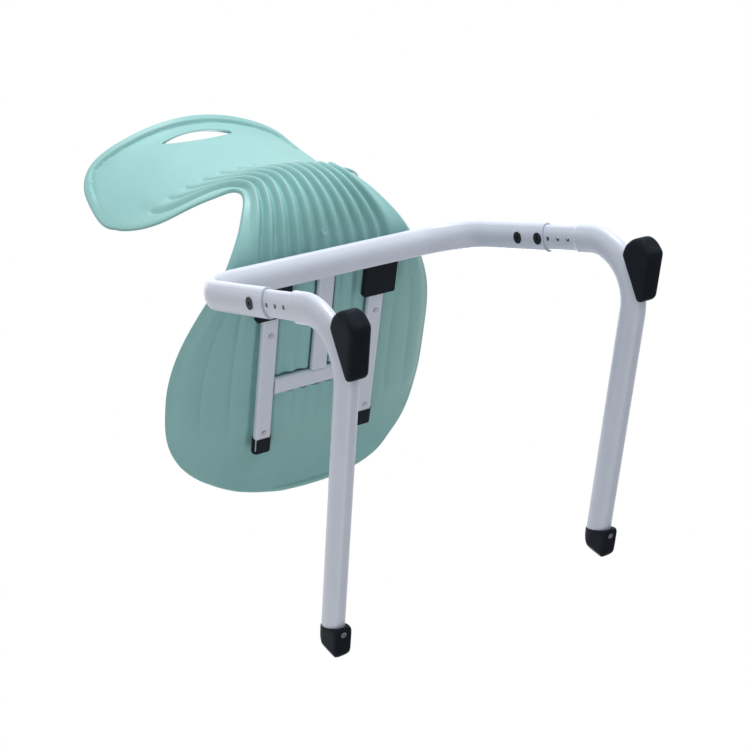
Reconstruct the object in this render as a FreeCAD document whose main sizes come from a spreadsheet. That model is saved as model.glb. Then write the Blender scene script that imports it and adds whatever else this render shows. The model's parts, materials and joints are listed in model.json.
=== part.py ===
"""Classroom chair: a one-piece moulded shell on a steel tube frame with height-adjustable legs.

Millimetres, +Z up, +Y towards the front of the seat, X across. The origin is on the floor under the
middle of the chair. The corner of a leg is the point where the line of its upright meets the line of
its runner; lengths along an upright start there. Lengths along a rail start over the bar.
"""
import FreeCAD
import Part
import Sketcher
import bisect
import math
import os
from FreeCAD import Placement, Rotation, Vector

SIZES = {
    # oval frame tube and its bends
    "tube_depth": 38,
    "tube_width": 22,
    "tube_end_radius": 8,
    "tube_wall": 2,
    "leg_spacing": 414,
    "upright_lean": 20.5,
    "upright_length": 377,
    "frame_bend": 65,
    "leg_bend": 65,
    "runner_height": 24.5,
    "runner_length": 437,
    # telescopic height adjustment
    "collar_edge": 180,
    "shoulder_edge": 114,
    "shoulder_length": 7,
    "slide_gap": 0.4,
    "neck_insert": 90,
    "neck_wall": 2,
    "index_first": 9,
    "index_pitch": 20,
    "index_hole": 6,
    "lower_clamp": 9,
    "middle_clamp": 28.4,
    "upper_clamp": 50.9,
    "bush_bore": 8,
    "bush_body": 12,
    "bush_flange": 15.6,
    "bush_flange_height": 0.8,
    "bush_fit": 0.05,
    "clamp_tip_gap": 0.1,
    "clamp_socket": 4.6,
    "clamp_socket_depth": 1.5,
    # seat rails
    "rail_spacing": 168,
    "rail_width": 25,
    "rail_height": 12,
    "rail_wall": 2.5,
    "rail_corner": 5,
    "rail_rise": 14.8,
    "rail_start": 6,
    "weld_gap": 0.1,
    "rail_length": 290,
    "seat_slope": 4.45,
    "cross_bar_reach": 188,
    "cap_cover": 20,
    "cap_nose": 4,
    "cap_wall": 1.2,
    "cap_fit": 0.1,
    "rest_reach": 20,
    "rest_length": 52,
    "rest_width": 51,
    "rest_floor": 4,
    "rest_height": 8.4,
    "rest_corner": 2.5,
    "rest_fit": 0.1,
    "rear_screw_reach": 100,
    "front_screw_reach": 260,
    "seat_screw_shank": 4,
    "seat_screw_head": 7,
    "seat_screw_head_height": 1.6,
    "seat_screw_bite": 3.2,
    "screw_fit": 0.2,
    # shell centre line, from the rail line over the bar
    "seat_over_rail": 12,
    "seat_front": 365,
    "lip_length": 57,
    "lip_drop": 24.8,
    "bend_start": 20,
    "hollow_back": 80.3,
    "hollow_height": 88,
    "lumbar_back": 34.7,
    "lumbar_height": 252,
    "upper_back": 38,
    "upper_height": 347,
    "top_back": 53,
    "top_height": 415.4,
    "top_roll": 35,
    # shell outline
    "tip_half_width": 62,
    "seat_half_width": 213,
    "seat_wide_length": 152,
    "side_half_width": 198,
    "side_reach": 108,
    "bar_half_width": 140,
    "bar_reach": 227,
    "bend_half_width": 108.6,
    "bend_reach": 280,
    "waist_half_width": 84.5,
    "waist_reach": 339.6,
    "armpit_radius": 22,
    "wing_rise": 151,
    "wing_square": 1.14,
    "back_half_width": 195.5,
    "top_half_width": 100,
    # shell curvature across, as rise per square of the distance from the middle
    "dish_front": 0.0006,
    "dish_seat": 0.00075,
    "dish_bar": 0.0003,
    "dish_waist": 0.00145,
    "dish_back": 0.0017,
    "dish_back_height": 198,
    # shell walls and ribs
    "edge_thickness": 4.5,
    "lip_thickness": 6,
    "seat_thickness": 13,
    "bar_thickness": 10,
    "rib_thickness": 10.5,
    "back_thickness": 6,
    "flute_depth": 1.5,
    "rib_depth": 7,
    "rib_pitch_seat": 21,
    "rib_pitch_waist": 14.2,
    "rib_pitch_back": 26.9,
    "rib_fade_height": 192,
    "rib_end_height": 231,
    "channel_side_gap": 4,
    "channel_gap": 0.3,
    "channel_end": 20,
    "slot_half_width": 60,
    "slot_half_height": 15,
    "slot_below_top": 41,
    "gate_size": 10,
    "gate_height": 1.2,
    "gate_height_over_rail": 23,
    # feet
    "foot_width": 24.5,
    "foot_fit": 0.1,
    "foot_edge": 1.5,
    "foot_round": 11.5,
    "foot_plan_height": 60,
    "foot_plan_length": 90,
    "rear_foot_back": 9,
    "rear_foot_floor_start": 14,
    "rear_foot_floor_end": 74.5,
    "rear_foot_apex": 19.5,
    "rear_foot_top_reach": 31.5,
    "rear_foot_top": 46.5,
    "rear_foot_toe_reach": 82,
    "rear_foot_toe": 8,
    "rear_foot_saddle": 13,
    "stud_size": 8,
    "stud_reach": 4.5,
    "front_foot_cover": 33,
    "front_foot_floor": 39,
    "front_foot_nose_reach": 46.5,
    "front_foot_nose": 10,
    "front_foot_brow_reach": 44.5,
    "front_foot_brow": 25,
    "front_foot_top_reach": 38,
    "front_foot_rear_reach": 17,
    "front_foot_height": 46,
    "foot_screw_reach": 9,
    "foot_screw_shank": 4,
    "foot_screw_head": 8,
    "foot_screw_head_height": 2.2,
    "foot_screw_recess": 2.6,
    "foot_screw_length": 9,
}

LEAN = "Sizes.upright_lean * 1 deg"
SLOPE = "Sizes.seat_slope * 1 deg"
BAR_Y = f"Sizes.upright_length * sin({LEAN})"
BAR_Z = f"Sizes.upright_length * cos({LEAN})"
CORNER_Y = f"(Sizes.rear_foot_back - {BAR_Y} - Sizes.seat_front) / 2"
RAIL_Y = f"{CORNER_Y} + {BAR_Y}"
RAIL_Z = f"Sizes.runner_height + {BAR_Z} + Sizes.rail_rise"
FRONT_FOOT = "Sizes.runner_length - Sizes.front_foot_cover"
NECK_GROW = "-(Sizes.tube_wall + Sizes.slide_gap)"
CHANNEL_TOP = "(Sizes.rail_height / 2 + Sizes.cap_fit + Sizes.cap_wall + Sizes.channel_gap)"
SIDES = {"left": -1, "right": 1}
RIBS = 11
FLUTE_EDGES = (0.28, 0.72)
SITTING_SHARES = (0, 0.2, 0.4, 0.6, 0.8, 0.93, 1)

X_AXIS = Vector(1, 0, 0)
Y_AXIS = Vector(0, 1, 0)
Constraint = Sketcher.Constraint


def fill_sheet(doc):
    """Put every size in an aliased cell."""
    sheet = doc.addObject("Spreadsheet::Sheet", "Sizes")
    for row, (alias, value) in enumerate(SIZES.items(), 1):
        sheet.set(f"A{row}", alias)
        sheet.set(f"B{row}", str(value))
        sheet.setAlias(f"B{row}", alias)
    doc.recompute()
    return sheet


def bind(obj, **expressions):
    """Bind properties to expressions; a double underscore stands for a dot."""
    for name, expression in expressions.items():
        obj.setExpression(name.replace("__", "."), str(expression))
    return obj


def place(obj, x="0", y="0", z="0", axis=None, angle="0"):
    """Bind the position of an object and its turn about an axis."""
    if axis is not None:
        obj.Placement = Placement(Vector(), Rotation(axis, 1))
        bind(obj, Placement__Rotation__Angle=f"({angle}) * 1 deg")
    return bind(obj, Placement__Base__x=x, Placement__Base__y=y, Placement__Base__z=z)


def place_at_corner(obj, sign, tilted=True):
    """Put an object at the corner of a leg, its Z along the upright if tilted."""
    axis = -X_AXIS if tilted else None
    return place(obj, f"{sign} * Sizes.leg_spacing / 2", CORNER_Y, "Sizes.runner_height", axis,
                 "Sizes.upright_lean")


def place_on_rail(obj, x="0", reach="0", height="0"):
    """Put an object on the rail line, its Y along the rail."""
    y = f"{RAIL_Y} + ({reach}) * cos({SLOPE}) - ({height}) * sin({SLOPE})"
    z = f"{RAIL_Z} + ({reach}) * sin({SLOPE}) + ({height}) * cos({SLOPE})"
    return place(obj, x, y, z, X_AXIS, "Sizes.seat_slope")


def place_in_wall(obj, sign, facing, along, depth):
    """Put an object in the wall of an upright, its Z out of the wall face that looks along facing * X."""
    x = f"{sign} * Sizes.leg_spacing / 2 + {facing} * ({depth})"
    y = f"{CORNER_Y} + ({along}) * sin({LEAN})"
    z = f"Sizes.runner_height + ({along}) * cos({LEAN})"
    return place(obj, x, y, z, Vector(0, facing, 0), "90")


def new_body(doc, name):
    """An empty body."""
    body = doc.addObject("PartDesign::Body", name)
    body.Label = name
    return body


def new_sketch(body, name, plane, **offset):
    """A sketch on an origin plane of a body, moved by bound offsets."""
    sketch = body.newObject("Sketcher::SketchObject", name)
    support = next(item for item in body.Origin.OriginFeatures if item.Role == plane)
    sketch.AttachmentSupport = (support, [""])
    sketch.MapMode = "FlatFace"
    for axis, expression in offset.items():
        sketch.setExpression(f"AttachmentOffset.Base.{axis}", str(expression))
    return sketch


def dimension(sketch, expression, kind, *where):
    """A driving dimension bound to an expression."""
    index = sketch.addConstraint(Constraint(kind, *where))
    sketch.setExpression(f"Constraints[{index}]", expression)


def oval_sketch(body, name, depth, width, end_radius, **offset):
    """An oval of four arcs on the XY plane, depth along Y and width along X."""
    sketch = new_sketch(body, name, "XY_Plane", **offset)
    around = Vector(0, 0, 1)
    end, half, reach = SIZES["tube_end_radius"], SIZES["tube_width"] / 2, SIZES["tube_depth"] / 2
    centre = reach - end
    flank = (centre ** 2 + half ** 2 - end ** 2) / (2 * (half - end))
    turn = math.atan2(centre, flank - half)
    sides = [Part.Circle(Vector(sign * (flank - half), 0, 0), around, flank) for sign in (-1, 1)]
    ends = [Part.Circle(Vector(0, sign * centre, 0), around, end) for sign in (1, -1)]
    sketch.addGeometry(Part.ArcOfCircle(sides[0], -turn, turn))
    sketch.addGeometry(Part.ArcOfCircle(ends[0], turn, math.pi - turn))
    sketch.addGeometry(Part.ArcOfCircle(sides[1], math.pi - turn, math.pi + turn))
    sketch.addGeometry(Part.ArcOfCircle(ends[1], math.pi + turn, 2 * math.pi - turn))
    for index in range(4):
        sketch.addConstraint(Constraint("Tangent", index, 2, (index + 1) % 4, 1))
    for index, axis in enumerate((-1, -2, -1)):
        sketch.addConstraint(Constraint("PointOnObject", index, 3, axis))
    sketch.addConstraint(Constraint("Equal", 1, 3))
    sketch.addConstraint(Constraint("Equal", 0, 2))
    dimension(sketch, end_radius, "Radius", 1, end)
    dimension(sketch, f"({depth}) / 2 - ({end_radius})", "DistanceY", -1, 1, 1, 3, centre)
    flank_radius = (f"((({depth}) / 2 - ({end_radius})) ^ 2 + (({width}) / 2) ^ 2 - ({end_radius}) ^ 2)"
                    f" / (2 * (({width}) / 2 - ({end_radius})))")
    dimension(sketch, flank_radius, "Radius", 0, flank)
    return sketch


def tube_oval(body, name, grow, **offset):
    """The outline of the frame tube, grown all round by an amount."""
    return oval_sketch(body, name, f"Sizes.tube_depth + 2 * ({grow})", f"Sizes.tube_width + 2 * ({grow})",
                       f"Sizes.tube_end_radius + ({grow})", **offset)


def circle_sketch(body, name, plane, size, **offset):
    """A circle around the origin of a plane."""
    sketch = new_sketch(body, name, plane, **offset)
    sketch.addGeometry(Part.Circle(Vector(), Vector(0, 0, 1), 5))
    sketch.addConstraint(Constraint("Coincident", 0, 3, -1, 1))
    dimension(sketch, size, "Diameter", 0, 10)
    return sketch


def rectangle_sketch(body, name, plane, width, height, **offset):
    """A rectangle centred on the origin of a plane."""
    sketch = new_sketch(body, name, plane, **offset)
    corners = [Vector(-9, -5, 0), Vector(9, -5, 0), Vector(9, 5, 0), Vector(-9, 5, 0)]
    for index in range(4):
        sketch.addGeometry(Part.LineSegment(corners[index], corners[(index + 1) % 4]))
    for index in range(4):
        sketch.addConstraint(Constraint("Coincident", index, 2, (index + 1) % 4, 1))
        sketch.addConstraint(Constraint("Vertical" if index % 2 else "Horizontal", index))
    sketch.addConstraint(Constraint("Symmetric", 0, 1, 1, 2, -1, 1))
    dimension(sketch, width, "DistanceX", 0, 1, 0, 2, 18)
    dimension(sketch, height, "DistanceY", 1, 1, 1, 2, 10)
    return sketch


def polygon_sketch(body, name, plane, corners):
    """A polygon in the first quadrant; each corner is a pair of size names, or None on an axis."""
    sketch = new_sketch(body, name, plane)
    points = [Vector(*[SIZES[key] if key else 0 for key in corner]) for corner in corners]
    count = len(points)
    for index in range(count):
        sketch.addGeometry(Part.LineSegment(points[index], points[(index + 1) % count]))
    for index, (across, up) in enumerate(corners):
        sketch.addConstraint(Constraint("Coincident", index - 1 if index else count - 1, 2, index, 1))
        for key, kind, axis in ((across, "DistanceX", -2), (up, "DistanceY", -1)):
            if key is None:
                sketch.addConstraint(Constraint("PointOnObject", index, 1, axis))
            else:
                dimension(sketch, f"Sizes.{key}", kind, -1, 1, index, 1, SIZES[key])
    return sketch


def feature(body, kind, name, profile, **properties):
    """A feature on a profile; text values are bound as expressions unless they name a type."""
    item = body.newObject(f"PartDesign::{kind}", name)
    item.Profile = profile
    for key, value in properties.items():
        if isinstance(value, str) and key != "Type":
            item.setExpression(key, value)
        else:
            setattr(item, key, value)
    return item


def sweep(body, kind, name, profile, path):
    """A pipe feature along a path."""
    return feature(body, kind, name, profile, Spine=path)


def cylinder(doc, name, size, length):
    """A cylinder along its Z."""
    return bind(doc.addObject("Part::Cylinder", name), Radius=f"({size}) / 2", Height=length)


def box(doc, name, length, width, height):
    """A box from its corner."""
    return bind(doc.addObject("Part::Box", name), Length=length, Width=width, Height=height)


def joined(doc, name, *shapes):
    """The union of some objects."""
    fuse = doc.addObject("Part::MultiFuse", name)
    fuse.Shapes = list(shapes)
    return fuse


def common(doc, name, *shapes):
    """The shared space of some objects."""
    overlap = doc.addObject("Part::MultiCommon", name)
    overlap.Shapes = list(shapes)
    return overlap


def cut(doc, name, base, *tools):
    """A base with some tools taken out of it."""
    tool = tools[0] if len(tools) == 1 else joined(doc, f"{name}_tools", *tools)
    result = doc.addObject("Part::Cut", name)
    result.Base = base
    result.Tool = tool
    return result


def edges_along(shape, direction, length):
    """The names of the straight edges of a shape that run along a direction for a length."""
    names = []
    for index, edge in enumerate(shape.Edges, 1):
        chord = edge.Vertexes[-1].Point - edge.Vertexes[0].Point
        if abs(abs(chord.dot(direction)) - length) < 1e-3:
            names.append(f"Edge{index}")
    return names


def round_edges(doc, body, name, source, direction, length, radius):
    """Fillet the long edges of a padded body."""
    doc.recompute()
    fillet = body.newObject("PartDesign::Fillet", name)
    fillet.Base = (source, edges_along(source.Shape, direction, length))
    fillet.setExpression("Radius", radius)
    return fillet


def frame_path(body):
    """The centre line of the bent U: up one upright, over the bar, down the other."""
    half = SIZES["leg_spacing"] / 2
    drop = SIZES["upright_length"] - SIZES["collar_edge"]
    bend = SIZES["frame_bend"]
    sketch = new_sketch(body, "frame_path", "XZ_Plane")
    left = Part.Circle(Vector(bend - half, -bend, 0), Vector(0, 0, 1), bend)
    right = Part.Circle(Vector(half - bend, -bend, 0), Vector(0, 0, 1), bend)
    sketch.addGeometry(Part.LineSegment(Vector(-half, -drop, 0), Vector(-half, -bend, 0)))
    sketch.addGeometry(Part.ArcOfCircle(left, math.pi / 2, math.pi))
    sketch.addGeometry(Part.LineSegment(Vector(bend - half, 0, 0), Vector(half - bend, 0, 0)))
    sketch.addGeometry(Part.ArcOfCircle(right, 0, math.pi / 2))
    sketch.addGeometry(Part.LineSegment(Vector(half, -bend, 0), Vector(half, -drop, 0)))
    sketch.addConstraint(Constraint("Tangent", 0, 2, 1, 2))
    sketch.addConstraint(Constraint("Tangent", 1, 1, 2, 1))
    sketch.addConstraint(Constraint("Tangent", 2, 2, 3, 2))
    sketch.addConstraint(Constraint("Tangent", 3, 1, 4, 1))
    sketch.addConstraint(Constraint("Vertical", 0))
    sketch.addConstraint(Constraint("Vertical", 4))
    sketch.addConstraint(Constraint("Horizontal", 2))
    sketch.addConstraint(Constraint("PointOnObject", 2, 1, -1))
    sketch.addConstraint(Constraint("Equal", 1, 3))
    sketch.addConstraint(Constraint("Symmetric", 0, 1, 4, 2, -2))
    dimension(sketch, "Sizes.leg_spacing", "DistanceX", 0, 1, 4, 2, 2 * half)
    dimension(sketch, "Sizes.upright_length - Sizes.collar_edge", "DistanceY", 0, 1, 2, 1, drop)
    dimension(sketch, "Sizes.frame_bend", "Radius", 1, bend)
    return sketch


def leg_path(body):
    """The centre line of a leg: down the upright, round the bend and along the runner."""
    lean = math.radians(SIZES["upright_lean"])
    bend = SIZES["leg_bend"]
    reach = bend * math.tan((math.pi / 2 + lean) / 2)
    forward = Vector(math.cos(lean), math.sin(lean), 0)
    circle = Part.Circle(Vector(bend, reach, 0), Vector(0, 0, 1), bend)
    sketch = new_sketch(body, "leg_path", "YZ_Plane")
    sketch.addGeometry(Part.LineSegment(Vector(0, SIZES["shoulder_edge"], 0), Vector(0, reach, 0)))
    sketch.addGeometry(Part.ArcOfCircle(circle, math.pi, 1.5 * math.pi + lean))
    sketch.addGeometry(Part.LineSegment(forward * reach, forward * SIZES["runner_length"]))
    sketch.addConstraint(Constraint("Tangent", 0, 2, 1, 1))
    sketch.addConstraint(Constraint("Tangent", 1, 2, 2, 1))
    sketch.addConstraint(Constraint("PointOnObject", 0, 1, -2))
    sketch.addConstraint(Constraint("Vertical", 0))
    sketch.addConstraint(Constraint("PointOnObject", -1, 1, 2))
    dimension(sketch, LEAN, "Angle", 2, lean)
    dimension(sketch, "Sizes.shoulder_edge", "DistanceY", -1, 1, 0, 1, SIZES["shoulder_edge"])
    dimension(sketch, "Sizes.runner_length", "Distance", -1, 1, 2, 2, SIZES["runner_length"])
    dimension(sketch, "Sizes.leg_bend", "Radius", 1, bend)
    return sketch


def bush_hole(body, name, along, side_offset, **properties):
    """A round hole through walls of the uprights for a bush."""
    sketch = circle_sketch(body, f"{name}_circle", "YZ_Plane", "Sizes.bush_body + 2 * Sizes.bush_fit",
                           y=f"Sizes.collar_edge + {along} - Sizes.upright_length", z=side_offset)
    return feature(body, "Pocket", name, sketch, **properties)


def make_upper_frame(doc):
    """The U of oval tube with the holes for the clamp bushes."""
    body = new_body(doc, "upper_frame")
    start = {"x": "-Sizes.leg_spacing / 2", "z": "Sizes.collar_edge - Sizes.upright_length"}
    outside = tube_oval(body, "frame_outside", "0", **start)
    inside = tube_oval(body, "frame_inside", "-Sizes.tube_wall", **start)
    path = frame_path(body)
    sweep(body, "AdditivePipe", "frame_tube", outside, path)
    sweep(body, "SubtractivePipe", "frame_bore", inside, path)
    for name in ("lower_clamp", "upper_clamp"):
        bush_hole(body, f"{name}_holes", f"Sizes.{name}", "0", Midplane=True, Length="Sizes.leg_spacing")
    for side, sign in SIDES.items():
        bush_hole(body, f"{side}_outer_hole", "Sizes.middle_clamp", f"{sign} * Sizes.leg_spacing / 2",
                  Reversed=sign > 0, Length="Sizes.tube_width")
    return place(body, "0", RAIL_Y, f"Sizes.runner_height + {BAR_Z}", -X_AXIS, "Sizes.upright_lean")


def leg_tube(body, extra="0"):
    """The bent oval tube of a leg as a solid bar, thicker all round by an extra."""
    profile = tube_oval(body, "leg_outside", extra, z="Sizes.shoulder_edge")
    path = leg_path(body)
    sweep(body, "AdditivePipe", "leg_bar", profile, path)
    return path


def make_leg_bar(doc, side, sign):
    """A bent leg tube with the drawn-in neck that slides in the upright and its index holes."""
    body = new_body(doc, f"{side}_leg_bar")
    path = leg_tube(body)
    neck_start = "Sizes.shoulder_edge + Sizes.shoulder_length"
    neck_length = f"Sizes.collar_edge + Sizes.neck_insert - ({neck_start})"
    bore = f"{NECK_GROW} - Sizes.neck_wall"
    wide = tube_oval(body, "shoulder_wide", "0", z="Sizes.shoulder_edge")
    narrow = tube_oval(body, "shoulder_narrow", NECK_GROW, z=neck_start)
    feature(body, "AdditiveLoft", "shoulder", wide, Sections=[narrow])
    neck = tube_oval(body, "neck_outside", NECK_GROW, z=neck_start)
    feature(body, "Pad", "neck", neck, Length=neck_length)
    inside = tube_oval(body, "leg_inside", "-Sizes.tube_wall", z="Sizes.shoulder_edge")
    sweep(body, "SubtractivePipe", "leg_bore", inside, path)
    wide_bore = tube_oval(body, "shoulder_wide_bore", "-Sizes.tube_wall", z="Sizes.shoulder_edge")
    narrow_bore = tube_oval(body, "shoulder_narrow_bore", bore, z=neck_start)
    feature(body, "SubtractiveLoft", "shoulder_bore", wide_bore, Sections=[narrow_bore])
    neck_bore = tube_oval(body, "neck_inside", bore, z=neck_start)
    feature(body, "Pocket", "neck_bore", neck_bore, Reversed=True, Length=f"{neck_length} + 1")
    mark = circle_sketch(body, "index_circle", "YZ_Plane", "Sizes.index_hole",
                         y="Sizes.collar_edge - Sizes.index_first")
    first = feature(body, "Pocket", "index_hole", mark, Midplane=True, Length="2 * Sizes.tube_width")
    pattern = body.newObject("PartDesign::LinearPattern", "index_holes")
    pattern.Originals = [first]
    pattern.Direction = (mark, ["V_Axis"])
    pattern.Reversed = True
    pattern.Occurrences = 3
    bind(pattern, Length="2 * Sizes.index_pitch")
    body.Tip = pattern
    return place_at_corner(body, sign)


def make_leg_envelope(doc, side, sign):
    """The room that a leg takes up in its feet."""
    body = new_body(doc, f"{side}_leg_room")
    leg_tube(body, "Sizes.foot_fit")
    return place_at_corner(body, sign)


def make_stud(doc, side, sign, name, extra):
    """The stud that holds a rear foot in the bend of the leg, thicker by an extra for its hole."""
    half_turn = "(90 - Sizes.upright_lean) / 2"
    length = (f"Sizes.leg_bend / sin(({half_turn}) * 1 deg) - Sizes.leg_bend - Sizes.tube_depth / 2"
              f" + Sizes.stud_reach + ({extra})")
    stud = cylinder(doc, f"{side}_{name}", f"Sizes.stud_size + 2 * ({extra})", length)
    return place(stud, f"{sign} * Sizes.leg_spacing / 2", CORNER_Y, "Sizes.runner_height", -X_AXIS,
                 "(90 + Sizes.upright_lean) / 2")


def foot_screw_tool(doc, side, sign, name, size, height, start="0"):
    """A cylinder on the line of a front foot's screw, from a start above the floor."""
    tool = cylinder(doc, f"{side}_{name}", size, height)
    return place(tool, f"{sign} * Sizes.leg_spacing / 2",
                 f"{CORNER_Y} + {FRONT_FOOT} + Sizes.foot_screw_reach", start)


def make_leg(doc, side, sign):
    """A leg with the holes for its foot fixings."""
    stud_hole = make_stud(doc, side, sign, "stud_hole", "Sizes.foot_fit")
    screw_hole = foot_screw_tool(doc, side, sign, "foot_screw_hole",
                                 "Sizes.foot_screw_shank + 2 * Sizes.screw_fit", "Sizes.runner_height")
    return cut(doc, f"{side}_leg", make_leg_bar(doc, side, sign), stud_hole, screw_hole)


def make_rear_foot(doc, side, sign, leg_room):
    """The boot on the outside of a leg bend, a saddle with a stud into the tube."""
    body = new_body(doc, f"{side}_rear_foot_block")
    outline = polygon_sketch(body, "rear_foot_outline", "YZ_Plane", [
        ("rear_foot_floor_start", None), ("rear_foot_floor_end", None),
        ("rear_foot_toe_reach", "rear_foot_toe"), ("rear_foot_top_reach", "rear_foot_top"),
        (None, "rear_foot_apex")])
    feature(body, "Pad", "rear_foot_pad", outline, Midplane=True, Length="Sizes.foot_width")
    doc.recompute()
    pad = body.Tip
    round_profile(body, "rear_foot_rounding", pad)
    place(body, f"{sign} * Sizes.leg_spacing / 2", f"{CORNER_Y} - Sizes.rear_foot_back", "0")
    saddle = cylinder(doc, f"{side}_saddle", "2 * (Sizes.leg_bend + Sizes.rear_foot_saddle)",
                      "2 * Sizes.foot_width")
    turn = "(Sizes.leg_bend * tan((90 + Sizes.upright_lean) / 2 * 1 deg))"
    place(saddle, f"{sign} * Sizes.leg_spacing / 2 - Sizes.foot_width", f"{CORNER_Y} + {turn}",
          "Sizes.runner_height + Sizes.leg_bend", Vector(0, 1, 0), "90")
    plan = foot_plan(doc, f"{side}_rear_foot_plan", sign,
                     "Sizes.foot_plan_length / 2 - Sizes.rear_foot_back")
    rounded = common(doc, f"{side}_rear_foot_rounded", body, plan)
    block = cut(doc, f"{side}_rear_foot_shell", rounded, saddle, leg_room)
    stud = make_stud(doc, side, sign, "stud", "0")
    return joined(doc, f"{side}_rear_foot", block, stud)


def foot_plan(doc, name, sign, middle):
    """A tall block with rounded corners that gives a foot its outline from above."""
    body = new_body(doc, name)
    outline = rectangle_sketch(body, "plan_outline", "XY_Plane", "Sizes.foot_width", "Sizes.foot_plan_length")
    pad = feature(body, "Pad", "plan_pad", outline, Length="Sizes.foot_plan_height")
    round_edges(doc, body, "plan_rounding", pad, Vector(0, 0, 1), SIZES["foot_plan_height"],
                "Sizes.foot_round")
    return place(body, f"{sign} * Sizes.leg_spacing / 2", f"{CORNER_Y} + {middle}", "0")


def round_profile(body, name, pad):
    """Soften the outline edges of both cheeks of a foot except at its sharp upper end."""
    names = []
    top = pad.Shape.BoundBox.ZMax
    for index, edge in enumerate(pad.Shape.Edges, 1):
        ends = [vertex.Point for vertex in edge.Vertexes]
        across = abs((ends[-1] - ends[0]).dot(X_AXIS)) > 1e-3
        if not across and max(point.z for point in ends) < top - 1e-3:
            names.append(f"Edge{index}")
    fillet = body.newObject("PartDesign::Fillet", name)
    fillet.Base = (pad, names)
    fillet.setExpression("Radius", "Sizes.foot_edge")
    return fillet


def make_front_foot(doc, side, sign, leg_room):
    """The shoe on the end of a runner: an oval sleeve on a floor pad with a sloping nose."""
    wide = "Sizes.foot_width"
    section = new_body(doc, f"{side}_front_foot_section")
    sleeve = tube_oval(section, "sleeve_oval", "(Sizes.foot_width - Sizes.tube_width) / 2")
    feature(section, "Pad", "sleeve", sleeve, Length="2 * Sizes.front_foot_nose_reach", Midplane=True)
    place(section, f"{sign} * Sizes.leg_spacing / 2", f"{CORNER_Y} + {FRONT_FOOT}",
          "Sizes.runner_height", X_AXIS, "90")
    base = box(doc, f"{side}_front_foot_base", wide, "Sizes.front_foot_nose_reach", "Sizes.runner_height")
    place(base, f"{sign} * Sizes.leg_spacing / 2 - {wide} / 2", f"{CORNER_Y} + {FRONT_FOOT}", "0")
    profile = new_body(doc, f"{side}_front_foot_profile")
    outline = polygon_sketch(profile, "front_foot_outline", "YZ_Plane", [
        (None, None), ("front_foot_floor", None), ("front_foot_nose_reach", "front_foot_nose"),
        ("front_foot_brow_reach", "front_foot_brow"), ("front_foot_top_reach", "front_foot_height"),
        ("front_foot_rear_reach", "front_foot_height")])
    feature(profile, "Pad", "front_foot_pad", outline, Midplane=True, Length="2 * Sizes.foot_width")
    place(profile, f"{sign} * Sizes.leg_spacing / 2", f"{CORNER_Y} + {FRONT_FOOT}", "0")
    plan = foot_plan(doc, f"{side}_front_foot_plan", sign,
                     f"{FRONT_FOOT} + Sizes.front_foot_nose_reach - Sizes.foot_plan_length / 2")
    bulk = joined(doc, f"{side}_front_foot_bulk", section, base)
    solid = common(doc, f"{side}_front_foot_solid", bulk, profile, plan)
    recess = foot_screw_tool(doc, side, sign, "foot_screw_recess",
                             "Sizes.foot_screw_head + 2 * Sizes.screw_fit", "Sizes.foot_screw_recess")
    bore = foot_screw_tool(doc, side, sign, "foot_screw_bore",
                           "Sizes.foot_screw_shank + 2 * Sizes.screw_fit", "Sizes.runner_height")
    return cut(doc, f"{side}_front_foot", solid, leg_room, recess, bore)


def make_foot_screw(doc, side, sign):
    """The screw that holds a front foot to its runner, head down."""
    top = "Sizes.foot_screw_recess"
    head = foot_screw_tool(doc, side, sign, "foot_screw_head", "Sizes.foot_screw_head",
                           "Sizes.foot_screw_head_height", f"{top} - Sizes.foot_screw_head_height")
    shank = foot_screw_tool(doc, side, sign, "foot_screw_shank", "Sizes.foot_screw_shank",
                            "Sizes.foot_screw_length", top)
    return joined(doc, f"{side}_foot_screw", head, shank)


def make_bush(doc, name, sign, facing, along):
    """A flanged bush in the wall of an upright."""
    wall = cylinder(doc, f"{name}_body", "Sizes.bush_body", "Sizes.tube_wall + Sizes.bush_flange_height")
    flange = cylinder(doc, f"{name}_flange", "Sizes.bush_flange", "Sizes.bush_flange_height")
    bore = cylinder(doc, f"{name}_bore", "Sizes.bush_bore + 2 * Sizes.bush_fit",
                    "2 * Sizes.tube_wall + 2 * Sizes.bush_flange_height")
    inner_face = "Sizes.tube_width / 2 - Sizes.tube_wall"
    place_in_wall(wall, sign, facing, along, inner_face)
    place_in_wall(flange, sign, facing, along, "Sizes.tube_width / 2")
    place_in_wall(bore, sign, facing, along, f"{inner_face} - Sizes.tube_wall")
    return cut(doc, name, joined(doc, f"{name}_blank", wall, flange), bore)


def make_clamp_screw(doc, name, sign, facing, along):
    """A grub screw with a hexagon socket, flush with its bush and just clear of the neck."""
    tip = f"Sizes.tube_width / 2 + {NECK_GROW} + Sizes.clamp_tip_gap"
    face = "Sizes.tube_width / 2 + Sizes.bush_flange_height"
    blank = cylinder(doc, f"{name}_blank", "Sizes.bush_bore", f"{face} - ({tip})")
    socket = bind(doc.addObject("Part::Prism", f"{name}_socket"), Circumradius="Sizes.clamp_socket / 2",
                  Height="2 * Sizes.clamp_socket_depth")
    socket.Polygon = 6
    place_in_wall(blank, sign, facing, along, tip)
    place_in_wall(socket, sign, facing, along, f"{face} - Sizes.clamp_socket_depth")
    return cut(doc, name, blank, socket)


def make_bar_room(doc):
    """The bar of the upper frame as a straight solid oval, to cope the rails onto it."""
    body = new_body(doc, "bar_room")
    profile = tube_oval(body, "bar_oval", "Sizes.weld_gap")
    feature(body, "Pad", "bar_pad", profile, Midplane=True, Length="Sizes.leg_spacing")
    place(body, axis=Y_AXIS, angle="90")
    turned = doc.addObject("Part::Compound", "bar_turned")
    turned.Links = [body]
    return place(turned, "0", RAIL_Y, f"Sizes.runner_height + {BAR_Z}", -X_AXIS, "Sizes.upright_lean")


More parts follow.
